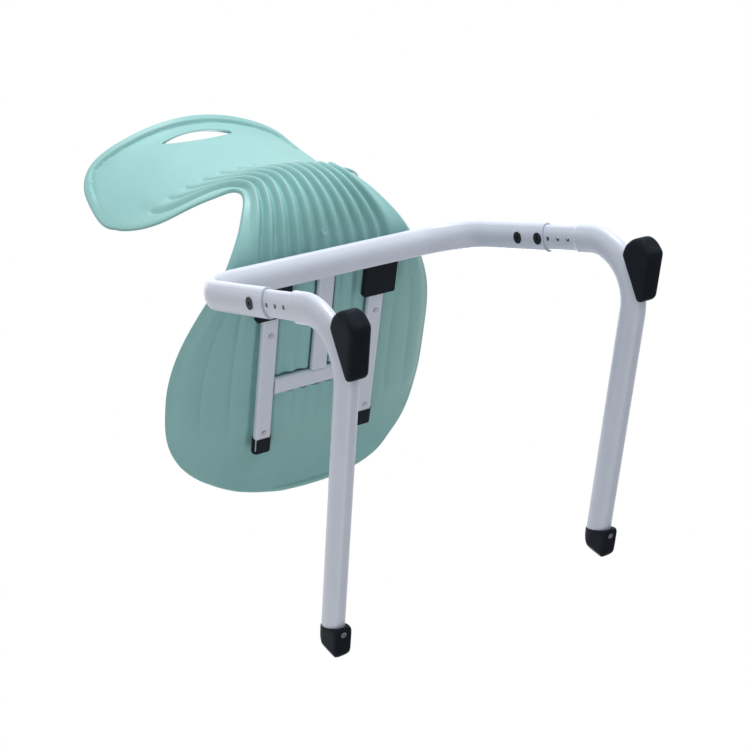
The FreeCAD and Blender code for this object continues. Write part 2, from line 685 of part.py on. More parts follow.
def rail_tube(doc, name, length, **offset):
    """A rounded rectangular tube along Y from its own origin."""
    body = new_body(doc, name)
    outside = rectangle_sketch(body, "rail_outside", "XZ_Plane", "Sizes.rail_width", "Sizes.rail_height",
                               **offset)
    pad = feature(body, "Pad", "rail_pad", outside, Reversed=True, Length=length)
    doc.recompute()
    round_edges(doc, body, "rail_rounding", pad, Vector(0, 1, 0), pad.Length.Value, "Sizes.rail_corner")
    inside = rectangle_sketch(body, "rail_inside", "XZ_Plane", "Sizes.rail_width - 2 * Sizes.rail_wall",
                              "Sizes.rail_height - 2 * Sizes.rail_wall", **offset)
    feature(body, "Pocket", "rail_bore", inside, Length=f"{length} + 1")
    return body


def seat_screw_tool(doc, name, sign, reach, size, start, height):
    """A cylinder on the line of a seat screw."""
    tool = cylinder(doc, name, size, height)
    return place_on_rail(tool, f"{sign} * Sizes.rail_spacing / 2", reach, start)


def make_rail(doc, side, sign, bar_room):
    """A seat rail, coped onto the bar and drilled for the seat screws."""
    tube = rail_tube(doc, f"{side}_rail_tube", "Sizes.rail_length + Sizes.rail_start")
    place_on_rail(tube, f"{sign} * Sizes.rail_spacing / 2", "-Sizes.rail_start")
    drills = []
    for where in ("rear", "front"):
        drills.append(seat_screw_tool(doc, f"{side}_{where}_drill", sign, f"Sizes.{where}_screw_reach",
                                      "Sizes.seat_screw_shank + 2 * Sizes.screw_fit",
                                      "-Sizes.rail_height", "2 * Sizes.rail_height"))
    return cut(doc, f"{side}_seat_rail", tube, bar_room, *drills)


def make_ties(doc, bar_room):
    """The strut in the middle and the bar across between the rails."""
    between = "(Sizes.rail_spacing - Sizes.rail_width - 2 * Sizes.weld_gap)"
    strut = rail_tube(doc, "strut_tube", "Sizes.cross_bar_reach - Sizes.rail_width / 2 - Sizes.weld_gap"
                      " + Sizes.rail_start")
    place_on_rail(strut, "0", "-Sizes.rail_start")
    across = rail_tube(doc, "rail_cross_bar", between)
    place(across, f"{between} / 2",
          f"{RAIL_Y} + Sizes.cross_bar_reach * cos({SLOPE})",
          f"{RAIL_Z} + Sizes.cross_bar_reach * sin({SLOPE})")
    across.Placement.Rotation = Rotation(X_AXIS, SIZES["seat_slope"]) * Rotation(Vector(0, 0, 1), 90)
    return [across, cut(doc, "centre_strut", strut, bar_room)]


def make_rail_cap(doc, side, sign):
    """The end cap over the front of a rail."""
    x = f"{sign} * Sizes.rail_spacing / 2"
    rim = "2 * (Sizes.cap_fit + Sizes.cap_wall)"
    body = new_body(doc, f"{side}_rail_cap")
    outside = rectangle_sketch(body, "cap_outside", "XZ_Plane", f"Sizes.rail_width + {rim}",
                               f"Sizes.rail_height + {rim}")
    pad = feature(body, "Pad", "cap_pad", outside, Reversed=True, Length="Sizes.cap_cover + Sizes.cap_nose")
    doc.recompute()
    round_edges(doc, body, "cap_rounding", pad, Vector(0, 1, 0), pad.Length.Value,
                "Sizes.rail_corner + Sizes.cap_wall")
    inside = rectangle_sketch(body, "cap_inside", "XZ_Plane", "Sizes.rail_width + 2 * Sizes.cap_fit",
                              "Sizes.rail_height + 2 * Sizes.cap_fit")
    feature(body, "Pocket", "cap_bore", inside, Length="Sizes.cap_cover + Sizes.cap_fit")
    return place_on_rail(body, x, "Sizes.rail_length - Sizes.cap_cover")


def make_desk_rest(doc, side, sign):
    """The soft block that straddles a rail from below, on which the chair hangs on a desk."""
    x = f"{sign} * Sizes.rail_spacing / 2"
    body = new_body(doc, f"{side}_desk_rest")
    middle = "Sizes.rest_height / 2 - Sizes.rail_height / 2 - Sizes.rest_floor"
    outside = rectangle_sketch(body, "rest_outside", "XZ_Plane", "Sizes.rest_width", "Sizes.rest_height",
                               y=middle)
    pad = feature(body, "Pad", "rest_pad", outside, Reversed=True, Length="Sizes.rest_length")
    round_edges(doc, body, "rest_rounding", pad, Vector(0, 0, 1), SIZES["rest_height"], "Sizes.rest_corner")
    groove = rectangle_sketch(body, "rest_groove", "XZ_Plane", "Sizes.rail_width + 2 * Sizes.rest_fit",
                              "Sizes.rail_height + 2 * Sizes.rest_fit")
    feature(body, "Pocket", "rest_channel", groove, Length="Sizes.rest_length + 1")
    return place_on_rail(body, x, "Sizes.rest_reach")


def make_seat_screw(doc, side, sign, where):
    """A screw through a rail into the shell, head under the rail."""
    name = f"{side}_{where}_seat_screw"
    reach = f"Sizes.{where}_screw_reach"
    bottom = "-Sizes.rail_height / 2"
    head = seat_screw_tool(doc, f"{name}_head", sign, reach, "Sizes.seat_screw_head",
                           f"{bottom} - Sizes.seat_screw_head_height", "Sizes.seat_screw_head_height")
    shank = seat_screw_tool(doc, f"{name}_shank", sign, reach, "Sizes.seat_screw_shank", bottom,
                            f"{CHANNEL_TOP} + Sizes.seat_screw_bite + Sizes.rail_height / 2")
    return joined(doc, name, head, shank)


def curve_points(poles, steps):
    """Points along a Bezier curve, without its end."""
    curve = Part.BezierCurve()
    curve.setPoles(poles)
    return curve.discretize(steps)[:-1]


def smooth_between(keys, at):
    """A value that glides between (station, value) keys."""
    stations = [key[0] for key in keys]
    index = bisect.bisect_right(stations, at)
    if index == 0:
        return keys[0][1]
    if index == len(keys):
        return keys[-1][1]
    (low, first), (high, last) = keys[index - 1], keys[index]
    share = (at - low) / (high - low)
    return first + (last - first) * share * share * (3 - 2 * share)


class ShellForm:
    """The moulded shell: a centre line, an outline across it, a dish and a ribbed underside."""

    def __init__(self, sheet):
        self.sheet = sheet
        self.slope = math.tan(math.radians(self.size("seat_slope")))
        self.line = Part.BSplineCurve()
        self.line.interpolate(self.line_points())
        self.length = self.line.length()
        self.samples = [(at, self.frame(at)[0]) for at in self.steps(0, self.length, 900)]
        self.lip = self.reach_of_depth(self.size("seat_front") - self.size("lip_length"))
        self.wide = self.reach_of_depth(self.size("seat_front") - self.size("seat_wide_length"))
        self.bar = self.reach_of_depth(0)
        self.upper = self.reach_of_height(self.size("upper_height"))
        self.waist = self.wide + self.size("waist_reach")
        self.waist_height = self.frame(self.waist)[0].z

    def size(self, name):
        """A size from the sheet."""
        return float(self.sheet.get(name))

    @staticmethod
    def steps(first, last, count):
        """Evenly spaced numbers."""
        return [first + (last - first) * index / count for index in range(count + 1)]

    def point(self, depth, height):
        """A point in the middle plane."""
        return Vector(0, depth, height)

    def seat_point(self, depth):
        """A point on the straight line of the seat."""
        return self.point(depth, self.size("seat_over_rail") + self.slope * depth)

    def line_points(self):
        """Points down the middle of the sitting surface, from the tip of the lip to the top of the back."""
        round_share = 0.5523
        lip = self.seat_point(self.size("seat_front") - self.size("lip_length"))
        tip = self.point(self.size("seat_front"), lip.z - self.size("lip_drop"))
        ahead = Vector(0, 1, self.slope)
        start = self.seat_point(self.size("bend_start"))
        hollow = self.point(-self.size("hollow_back"), self.size("hollow_height"))
        lumbar = self.point(-self.size("lumbar_back"), self.size("lumbar_height"))
        upper = self.point(-self.size("upper_back"), self.size("upper_height"))
        top = self.point(-self.size("top_back"), self.size("top_height"))
        up = Vector(0, 0, 1)
        roll = math.radians(self.size("top_roll"))
        points = curve_points([tip, tip + up * self.size("lip_drop") * round_share,
                               lip + ahead * self.size("lip_length") * round_share, lip], 9)
        points += curve_points([lip, start], 12)
        points += curve_points([start, start - ahead * (start.y - hollow.y) * round_share,
                                hollow - up * (hollow.z - start.z) * round_share, hollow], 12)
        points += curve_points([hollow, hollow + up * (lumbar.z - hollow.z) * 0.36,
                                lumbar - up * (lumbar.z - hollow.z) * 0.36, lumbar], 10)
        points += curve_points([lumbar, upper], 5)
        back = Vector(0, -math.sin(roll), math.cos(roll)) * (top.z - upper.z) * 0.36
        points += curve_points([upper, upper + up * (top.z - upper.z) * 0.36, top - back, top], 8)
        return points + [top]

    def frame(self, at, first=0, last=math.inf):
        """The point on the centre line at a length from the tip, and the direction towards the sitter.

        The direction is held at its value at a first and a last length beyond them.
        """
        where = self.line.parameterAtDistance(at, self.line.FirstParameter)
        held = self.line.parameterAtDistance(min(max(at, first), last), self.line.FirstParameter)
        along = self.line.tangent(held)[0]
        return self.line.value(where), Vector(0, along.z, -along.y)

    def reach_of_depth(self, depth):
        """The length from the tip where the seat is at a depth."""
        return next(at for at, point in self.samples if point.y <= depth)

    def reach_of_height(self, height):
        """The length from the tip where the back is at a height."""
        return next(at for at, point in self.samples if at > self.bar and point.z >= height)

    def outline(self):
        """Pairs of length from the tip and half width, round one side of the shell."""
        pairs = []
        wide, length = self.size("seat_half_width"), self.size("seat_wide_length")
        first = math.acos((self.size("tip_half_width") / wide) ** 1.5)
        for angle in self.steps(first, 0, 9)[:-1]:
            share = (math.sin(angle) / math.sin(first)) ** (2 / 3)
            depth = self.size("seat_front") - length + length * share
            pairs.append((self.reach_of_depth(depth), wide * math.cos(angle) ** (2 / 3)))
        sides = [(0, wide)]
        for name in ("side", "bar", "bend", "waist"):
            sides.append((self.size(f"{name}_reach"), self.size(f"{name}_half_width")))
        curve = Part.BSplineCurve()
        curve.interpolate(Points=[Vector(reach, half, 0) for reach, half in sides],
                          InitialTangent=Vector(1, 0, 0), FinalTangent=Vector(1, 0, 0))
        pairs += [(self.wide + point.x, point.y) for point in curve.discretize(14)[:-1]]
        return pairs + self.back_outline()

    def back_outline(self):
        """The armpit, the wing and the top of the outline."""
        pairs = []
        radius, waist = self.size("armpit_radius"), self.size("waist_half_width")
        for angle in self.steps(0, math.pi / 2, 4)[:-1]:
            height = self.waist_height + radius * math.sin(angle)
            pairs.append((self.reach_of_height(height), waist + radius * (1 - math.cos(angle))))
        low, inner = self.waist_height + radius, waist + radius
        wide, rise = self.size("back_half_width"), self.size("wing_rise")
        power = 2 / self.size("wing_square")
        for angle in self.steps(0, math.pi / 2, 9)[:-1]:
            height = low + rise * (1 - math.cos(angle) ** power)
            pairs.append((self.reach_of_height(height), inner + (wide - inner) * math.sin(angle) ** power))
        square = 5.25
        left = self.size("top_height") - low - rise
        last = math.acos((self.size("top_half_width") / wide) ** (square / 2))
        for angle in self.steps(0, last, 8):
            height = low + rise + left * math.sin(angle) ** (2 / square)
            pairs.append((self.reach_of_height(height), wide * math.cos(angle) ** (2 / square)))
        return pairs

    def keyed(self, at, keys):
        """A value that glides between named sizes or plain numbers keyed by length from the tip."""
        return smooth_between([(key, self.size(value) if isinstance(value, str) else value)
                               for key, value in keys], at)

    def dish(self, at):
        """The curvature across at a length from the tip."""
        back = self.reach_of_height(self.size("dish_back_height"))
        tip = self.outline()[0][0]
        return self.keyed(at, [(tip, 0), (self.lip / 2, "dish_front"), (self.wide, "dish_seat"),
                               (self.bar, "dish_bar"), (self.waist, "dish_waist"), (back, "dish_back")])

    def rib_pitch(self, at, half_width):
        """The spacing of the ribs, closed up where the shell is narrow."""
        tips = self.reach_of_height(self.size("rib_end_height"))
        pitch = self.keyed(at, [(self.bar, "rib_pitch_seat"), (self.waist, "rib_pitch_waist"),
                                (tips, "rib_pitch_back")])
        return min(pitch, half_width / 6.1)

    def rib_depth(self, at):
        """The depth of the flutes between the ribs."""
        deep = self.reach_of_height(self.size("hollow_height") / 3)
        fade = self.reach_of_height(self.size("rib_fade_height"))
        tips = self.reach_of_height(self.size("rib_end_height"))
        return self.keyed(at, [(self.lip, 0), (self.lip + self.size("lip_length"), "flute_depth"),
                               (self.bar, "flute_depth"), (deep, "rib_depth"), (fade, "rib_depth"),
                               (tips, 0)])

    def thickness(self, at, middle):
        """The wall at the ribs, or beside them."""
        hollow = self.reach_of_height(self.size("hollow_height") / 2)
        fade = self.reach_of_height(self.size("rib_fade_height"))
        tips = self.reach_of_height(self.size("rib_end_height"))
        inner = self.bar - self.size("rest_length")
        bend = "rib_thickness" if middle else "back_thickness"
        return self.keyed(at, [(0, "lip_thickness"), (self.lip, "lip_thickness"),
                               (self.lip + self.size("lip_length"), "seat_thickness"),
                               (inner, "seat_thickness"), (self.bar, "bar_thickness"), (hollow, bend),
                               (fade, bend), (tips, "back_thickness")])

    def underside(self, at, half_width):
        """Pairs of distance from the middle and wall, across half of the underside."""
        pitch = self.rib_pitch(at, half_width)
        crest, beside = self.thickness(at, True), self.thickness(at, False)
        floor = crest - self.rib_depth(at)
        low, high = FLUTE_EDGES
        outer = RIBS // 2
        pairs = []
        for rib in range(outer):
            pairs += [(rib * pitch, crest), ((rib + low) * pitch, floor), ((rib + high) * pitch, floor)]
        margin = (outer + high) * pitch
        taper = margin + 0.75 * (half_width - margin)
        pairs += [(outer * pitch, crest), ((outer + low) * pitch, min(floor, beside)), (margin, beside)]
        return pairs + [(taper, beside), (half_width, self.size("edge_thickness"))]

    def section(self, at, half_width):
        """The corners of the section across the shell at a length from the tip, as one loop."""
        middle, inward = self.frame(at, 0, self.upper)
        dish = self.frame(at, self.lip, self.upper)[1] * self.dish(at)
        loop = []
        for share in SITTING_SHARES[:0:-1] + (0,):
            loop.append((-share * half_width, 0))
        loop += [(share * half_width, 0) for share in SITTING_SHARES[1:]]
        under = self.underside(at, half_width)
        loop += under[::-1] + [(-x, wall) for x, wall in under[1:]]
        return [middle + X_AXIS * x + dish * x * x - inward * wall for x, wall in loop]

    def solid(self):
        """The shell as a solid between curves that run from the tip to the top."""
        sections = [self.section(at, half) for at, half in self.outline()]
        rims = [section[0] for section in sections]
        where = [0.0]
        for index in range(1, len(rims)):
            where.append(where[-1] + (rims[index] - rims[index - 1]).Length)
        edges = []
        for points in zip(*sections):
            curve = Part.BSplineCurve()
            curve.interpolate(Points=list(points), Parameters=where)
            edges.append(curve.toShape())
        faces = [Part.makeRuledSurface(edges[index - 1], edges[index]) for index in range(len(edges))]
        for section in (sections[0], sections[-1]):
            faces.append(Part.Face(Part.makePolygon(section + [section[0]])))
        shell = Part.makeShell(faces)
        shell.sewShape()
        solid = Part.makeSolid(shell)
        if solid.Volume < 0:
            solid.reverse()
        return solid

    def slot(self):
        """The handle slot, a lens cut through the back."""
        at = self.reach_of_height(self.size("top_height") - self.size("slot_below_top"))
        middle, towards = self.frame(at)
        half, height = self.size("slot_half_width"), self.size("slot_half_height")
        dish = towards * self.dish(at) * half * half
        up = X_AXIS.cross(towards)
        up = up if up.z > 0 else -up
        start = middle - towards * 4 * self.size("back_thickness")
        ends = [start - X_AXIS * half, start + X_AXIS * half]
        arcs = [Part.Arc(ends[0], start + up * sign * height, ends[1]).toShape() for sign in (1, -1)]
        face = Part.Face(Part.Wire(arcs))
        return face.extrude(towards * 8 * self.size("back_thickness") + dish)

    def gate(self):
        """The round boss left by the moulding gate, on the middle rib under the bend."""
        at = self.reach_of_height(self.size("gate_height_over_rail"))
        middle, towards = self.frame(at)
        wall = self.thickness(at, True)
        start = middle - towards * (wall + self.size("gate_height"))
        return Part.makeCylinder(self.size("gate_size") / 2, wall, start, towards)

    def rail_box(self, x, width, first, last):
        """A box along the rail line below the channel top, between two reaches."""
        deep = 4 * self.size("rail_height")
        top = self.size("rail_height") / 2 + self.size("cap_fit") + self.size("cap_wall")
        top += self.size("channel_gap")
        block = Part.makeBox(width, last - first, deep, Vector(x - width / 2, first, top - deep))
        block.rotate(Vector(), X_AXIS, self.size("seat_slope"))
        return block

    def channels(self):
        """The channels for the rails, the strut and the cross bar, and the holes of the seat screws."""
        width = self.size("rail_width") + 2 * self.size("channel_side_gap")
        rear = -self.size("rail_start") - self.size("channel_side_gap")
        half, reach = self.size("rail_spacing") / 2, self.size("cross_bar_reach")
        tools = [self.rail_box(0, width, rear, reach), self.rail_box(0, 2 * half, reach - width / 2,
                                                                     reach + width / 2)]
        for sign in SIDES.values():
            tools.append(self.rail_box(sign * half, width, rear,
                                       self.size("rail_length") + self.size("channel_end")))
            for where in ("rear", "front"):
                hole = Part.makeCylinder((self.size("seat_screw_shank")) / 2, 2 * self.size("rail_height"),
                                         Vector(sign * half, self.size(f"{where}_screw_reach"), 0))
                top = self.size("rail_height") / 2 + self.size("cap_fit") + self.size("cap_wall")
                limit = top + self.size("channel_gap") + self.size("seat_screw_bite")
                hole.translate(Vector(0, 0, limit - 2 * self.size("rail_height")))
                hole.rotate(Vector(), X_AXIS, self.size("seat_slope"))
                tools.append(hole)
        return tools


def make_shell(doc, sheet):
    """The seat and back in one moulding."""
    form = ShellForm(sheet)
    shape = form.solid().fuse(form.gate()).cut([form.slot()] + form.channels())
    part = doc.addObject("Part::Feature", "seat_shell")
    part.Shape = shape.Solids[0]
    return place(part, "0", RAIL_Y, RAIL_Z)


def make_clamps(doc, side, sign):
    """The bushes and the grub screws of one upright: two on the inner face and one on the outer."""
    pieces = []
    spots = {"lower_inner": (-sign, "lower_clamp"), "upper_inner": (-sign, "upper_clamp"),
             "outer": (sign, "middle_clamp")}
    for spot, (facing, height) in spots.items():
        along = f"Sizes.collar_edge + Sizes.{height}"
        pieces.append(make_bush(doc, f"{side}_{spot}_bush", sign, facing, along))
        pieces.append(make_clamp_screw(doc, f"{side}_{spot}_clamp_screw", sign, facing, along))
    return pieces


def make_side(doc, side, sign, bar_room):
    """Every piece of one side of the chair."""
    leg_room = make_leg_envelope(doc, side, sign)
    pieces = [make_leg(doc, side, sign), make_rear_foot(doc, side, sign, leg_room),
              make_front_foot(doc, side, sign, leg_room), make_foot_screw(doc, side, sign),
              make_rail(doc, side, sign, bar_room), make_rail_cap(doc, side, sign),
              make_desk_rest(doc, side, sign)]
    pieces += make_clamps(doc, side, sign)
    return pieces + [make_seat_screw(doc, side, sign, where) for where in ("rear", "front")]


def write_steps(doc, pieces):
    """Check every object and write one file for each piece."""
    for obj in doc.Objects:
        if "Invalid" in obj.State or "Error" in obj.State:
            raise RuntimeError(f"{obj.Name} is {obj.State}")
    os.makedirs("parts", exist_ok=True)
    for piece in pieces:
        shape = piece.Shape
        if shape.isNull() or not shape.isValid() or len(shape.Solids) != 1:
            raise RuntimeError(f"{piece.Name} has no single valid solid")
        print(f"{piece.Label}: {shape.Volume:.0f} mm3")
        shape.exportStep(f"parts/{piece.Label}.step")


def main():
    doc = FreeCAD.newDocument("chair")
    sheet = fill_sheet(doc)
    bar_room = make_bar_room(doc)
    pieces = [make_upper_frame(doc), make_shell(doc, sheet)] + make_ties(doc, bar_room)
    for side, sign in SIDES.items():
        pieces += make_side(doc, side, sign, bar_room)
    doc.recompute()
    for piece in pieces:
        piece.Label = piece.Name
    write_steps(doc, pieces)


main()
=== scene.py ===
"""Classroom chair with a ribbed moulded shell on a height-adjustable steel frame.

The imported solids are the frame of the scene. The shell and the four feet are modelled again with
their moulded forms, and every piece gets the finish of its real material. Lengths are in millimetres
unless a comment says otherwise.
"""

import bisect
import json
import logging
import math
from contextlib import contextmanager
from dataclasses import dataclass, field
from enum import Enum
from typing import Any, Callable, Iterator, Sequence

import bpy
import numpy as np
from mathutils import Matrix, Vector


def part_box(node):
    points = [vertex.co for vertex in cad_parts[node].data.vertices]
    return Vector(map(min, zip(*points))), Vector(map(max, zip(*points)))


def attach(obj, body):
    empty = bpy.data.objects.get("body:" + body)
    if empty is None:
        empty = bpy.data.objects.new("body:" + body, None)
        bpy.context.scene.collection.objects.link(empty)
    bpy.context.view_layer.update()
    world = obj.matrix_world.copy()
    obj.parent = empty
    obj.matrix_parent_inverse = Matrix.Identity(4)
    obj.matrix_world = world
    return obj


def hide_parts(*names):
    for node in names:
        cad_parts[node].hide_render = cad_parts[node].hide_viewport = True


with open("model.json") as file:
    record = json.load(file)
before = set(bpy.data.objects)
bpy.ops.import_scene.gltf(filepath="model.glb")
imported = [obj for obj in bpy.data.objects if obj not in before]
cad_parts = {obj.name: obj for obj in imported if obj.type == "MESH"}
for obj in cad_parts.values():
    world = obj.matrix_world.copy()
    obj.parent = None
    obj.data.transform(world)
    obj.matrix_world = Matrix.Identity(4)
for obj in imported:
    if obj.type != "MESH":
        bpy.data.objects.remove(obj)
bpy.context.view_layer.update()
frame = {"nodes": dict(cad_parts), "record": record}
LOG = logging.getLogger("chair")
MM = 0.001
TINY = 1e-6
FRAME_BODY = "chair_frame"
SIDES = {"left": -1, "right": 1}
# The numbers of the sockets of a Mix node that mixes colours.
MIX_A, MIX_B, MIX_RESULT = 6, 7, 2

Piece = bpy.types.Object
Pair = tuple[float, float]
Triple = tuple[float, float, float]
Keys = tuple[tuple[str, float, float], ...]


class Finish(Enum):
    """The record's material slots."""

    SHELL = "moulded_shell"
    PAINT = "frame_paint"
    PLASTIC = "black_plastic"
    RUBBER = "black_rubber"
    BLACK_STEEL = "black_steel"
    SCREW = "screw_steel"


def linear(code: str) -> tuple[float, float, float, float]:
    """Turn an sRGB hex colour into linear light.

    Args:
        code: Six hex digits, with or without a leading hash.

    Returns:
        Red, green, blue and an alpha of one.
    """
    digits = code.lstrip("#")
    shares = [int(digits[index:index + 2], 16) / 255 for index in (0, 2, 4)]
    light = [share / 12.92 if share <= 0.04045 else ((share + 0.055) / 1.055) ** 2.4 for share in shares]
    return light[0], light[1], light[2], 1.0


def add_node(tree: bpy.types.NodeTree, kind: str, links: dict[Any, Any] | None = None,
             values: dict[Any, Any] | None = None, **settings: Any) -> bpy.types.Node:
    """Add one shader node with its settings, its socket values and its incoming links.

    Args:
        tree: The node tree that takes the node.
        kind: The node's type name.
        links: Input socket names or numbers, each with the output socket that feeds it.
        values: Input socket names or numbers, each with its constant value.
        **settings: Properties of the node itself.

    Returns:
        The new node.
    """
    node = tree.nodes.new(kind)
    for name, value in settings.items():
        setattr(node, name, value)
    for key, value in (values or {}).items():
        node.inputs[key].default_value = value
    for key, source in (links or {}).items():
        tree.links.new(source, node.inputs[key])
    return node


def fresh_tree(owner: bpy.types.Material | bpy.types.World) -> bpy.types.NodeTree:
    """Switch a new material or world to nodes.

    Args:
        owner: The material or world.

    Returns:
        Its node tree, without nodes.
    """
    owner.use_nodes = True
    owner.node_tree.nodes.clear()
    return owner.node_tree


def seen_by(tree: bpy.types.NodeTree, *rays: str) -> bpy.types.NodeSocket:
    """Tell some kinds of rays from the others.

    Args:
        tree: The node tree that takes the nodes.
        *rays: Names of outputs of the light path.

    Returns:
        One for those rays and nought for all others.
    """
    path = add_node(tree, "ShaderNodeLightPath")
    seen = path.outputs[rays[0]]
    for ray in rays[1:]:
        seen = add_node(tree, "ShaderNodeMath", {0: seen, 1: path.outputs[ray]},
                        operation="MAXIMUM").outputs[0]
    return seen


def smooth_share(value: float, first: float, last: float) -> float:
    """Return how far a value is from first to last, eased at both ends."""
    share = min(max((value - first) / (last - first), 0.0), 1.0)
    return share * share * (3 - 2 * share)


def deselect_all() -> None:
    """Leave edit mode and deselect every object."""
    if bpy.context.object and bpy.context.object.mode != "OBJECT":
        bpy.ops.object.mode_set(mode="OBJECT")
    bpy.ops.object.select_all(action="DESELECT")


def pick(*objects: Piece) -> None:
    """Select some objects, the first of them active.

    Args:
        *objects: The objects to select.
    """
    deselect_all()
    for piece in objects:
        piece.select_set(True)
    bpy.context.view_layer.objects.active = objects[0]


@contextmanager
def editing(piece: Piece, mode: str = "FACE") -> Iterator[None]:
    """Work on a piece in edit mode.

    Args:
        piece: The object to edit.
        mode: What is selected: VERT, EDGE or FACE.

    Yields:
        Nothing; edit mode ends with the block.
    """
    pick(piece)
    bpy.ops.object.mode_set(mode="EDIT")
    bpy.ops.mesh.select_mode(type=mode)
    yield
    bpy.ops.object.mode_set(mode="OBJECT")


def mark(mesh: bpy.types.Mesh, items: Sequence[Any], test: Callable[[Any], bool]) -> None:
    """Select what passes a test, in object mode.

    Args:
        mesh: The mesh, whose selection is cleared first.
        items: Its vertices, edges or faces.
        test: What an item has to pass.
    """
    for kind in (mesh.polygons, mesh.edges, mesh.vertices):
        kind.foreach_set("select", [False] * len(kind))
    for item in items:
        item.select = test(item)


def apply_modifier(piece: Piece, kind: str, **settings: Any) -> None:
    """Add a modifier to a piece and apply it.

    Args:
        piece: The object to change.
        kind: The modifier's type.
        **settings: Properties of the modifier.
    """
    pick(piece)
    modifier = piece.modifiers.new(kind.title(), kind)
    for name, value in settings.items():
        setattr(modifier, name, value)
    bpy.ops.object.modifier_apply(modifier=modifier.name)


def combine(piece: Piece, tool: Piece, operation: str) -> None:
    """Cut a piece with a tool, or join or intersect them, and remove the tool."""
    apply_modifier(piece, "BOOLEAN", operation=operation, object=tool, solver="EXACT")
    bpy.data.objects.remove(tool)


def settle(piece: Piece) -> None:
    """Put a piece's place, turn and scale into its mesh."""
    pick(piece)
    bpy.ops.object.transform_apply(location=True, rotation=True, scale=True)


def add_mesh(operator: Callable[..., Any], place: Sequence[float] = (0, 0, 0), **settings: Any) -> Piece:
    """Add a primitive mesh and settle it.

    Args:
        operator: Blender's operator for the primitive.
        place: Where its middle goes, in metres.
        **settings: Options of the operator, with lengths in metres.

    Returns:
        The new piece.
    """
    deselect_all()
    operator(**settings)
    piece = bpy.context.object
    piece.location = place
    settle(piece)
    return piece


def smooth(piece: Piece, degrees: float) -> None:
    """Shade a piece smooth up to an edge angle."""
    pick(piece)
    bpy.ops.object.shade_smooth_by_angle(angle=math.radians(degrees))


@dataclass(frozen=True)
class Surface:
    """A finish whose colour, roughness and bump come from noise at real sizes.

    The tones are mixed by a broad cloud, the roughness by the same cloud, and the grain is the bump
    of the surface as it left the mould or the oven.
    """

    name: str
    light: str
    dark: str
    roughness: Pair
    grain_mm: float
    grain_height_mm: float
    cloud_mm: float
    ior: float = 1.5
    metallic: float = 0.0
    speck: str | None = None
    speck_mm: float = 3.0
    speck_level: float = 0.7
    speck_edge: float = 0.08
    coat: float = 0.0
    gloss: float = 0.5
    cloud_span: Pair = (0.3, 0.7)

    def material(self) -> bpy.types.Material:
        """Build the node tree of this finish.

        Returns:
            The material, ready to assign.
        """
        material = bpy.data.materials.new(self.name)
        tree = fresh_tree(material)
        place = add_node(tree, "ShaderNodeTexCoord").outputs["Object"]
        cloud = add_node(tree, "ShaderNodeTexNoise", {"Vector": place},
                         {"Scale": 1 / (self.cloud_mm * MM), "Detail": 3.0, "Roughness": 0.55}).outputs["Fac"]
        grain = add_node(tree, "ShaderNodeTexNoise", {"Vector": place},
                         {"Scale": 1 / (self.grain_mm * MM), "Detail": 2.0, "Roughness": 0.6}).outputs["Fac"]
        span = {"From Min": self.cloud_span[0], "From Max": self.cloud_span[1]}
        share = add_node(tree, "ShaderNodeMapRange", {"Value": cloud}, span)
        colour = add_node(tree, "ShaderNodeMix", {"Factor": share.outputs["Result"]},
                          {MIX_A: linear(self.dark), MIX_B: linear(self.light)},
                          data_type="RGBA").outputs[MIX_RESULT]
        if self.speck:
            colour = self.specked(tree, place, colour)
        rough = add_node(tree, "ShaderNodeMapRange", {"Value": cloud},
                         span | {"To Min": self.roughness[0], "To Max": self.roughness[1]})
        bump = add_node(tree, "ShaderNodeBump", {"Height": grain},
                        {"Strength": 1.0, "Distance": self.grain_height_mm * MM})
        shader = add_node(tree, "ShaderNodeBsdfPrincipled",
                          {"Base Color": colour, "Roughness": rough.outputs["Result"],
                           "Normal": bump.outputs["Normal"]},
                          {"IOR": self.ior, "Metallic": self.metallic, "Coat Weight": self.coat,
                           "Specular IOR Level": self.gloss})
        add_node(tree, "ShaderNodeOutputMaterial", {"Surface": shader.outputs["BSDF"]})
        return material

    def specked(self, tree: bpy.types.NodeTree, place: bpy.types.NodeSocket,
                colour: bpy.types.NodeSocket) -> bpy.types.NodeSocket:
        """Lay small specks of another tone over a colour.

        Args:
            tree: The node tree of the material.
            place: The coordinates that the pattern follows.
            colour: The colour below.

        Returns:
            The colour with its specks.
        """
        spots = add_node(tree, "ShaderNodeTexNoise", {"Vector": place},
                         {"Scale": 1 / (self.speck_mm * MM), "Detail": 4.0, "Roughness": 0.7})
        ramp = add_node(tree, "ShaderNodeMapRange", {"Value": spots.outputs["Fac"]},
                        {"From Min": self.speck_level, "From Max": self.speck_level + self.speck_edge})
        return add_node(tree, "ShaderNodeMix", {"Factor": ramp.outputs["Result"], MIX_A: colour},
                        {MIX_B: linear(self.speck or self.light)}, data_type="RGBA").outputs[MIX_RESULT]


# Polypropylene, injection moulded against a finely etched steel: an even tint with a soft, broad
# highlight. The etched grain is 0.15 mm on the real shell and is drawn at 0.9 mm so that it shows.
MINT_POLYPROPYLENE = Surface("mint polypropylene moulded matt", "8ABAB9", "85B5B4", (0.44, 0.52),
                             grain_mm=0.9, grain_height_mm=0.012, cloud_mm=60, ior=1.49)
# Epoxy-polyester powder coat on steel: satin, with the slight orange peel that flows out at about 2 mm.
PALE_GREY_POWDER_COAT = Surface("pale grey powder coat satin", "CFD6E4", "CAD1E0", (0.32, 0.4),
                                grain_mm=2.2, grain_height_mm=0.012, cloud_mm=45, ior=1.52, coat=0.15)
# Polypropylene with carbon black, moulded with a dull grain; floor dust leaves pale specks on it.
BLACK_POLYPROPYLENE = Surface("black polypropylene moulded grained", "1F242C", "191D24", (0.5, 0.62),
                              grain_mm=1.1, grain_height_mm=0.03, cloud_mm=14, ior=1.49, speck="2B3037",
                              speck_mm=3.5, speck_level=0.66, gloss=0.05)
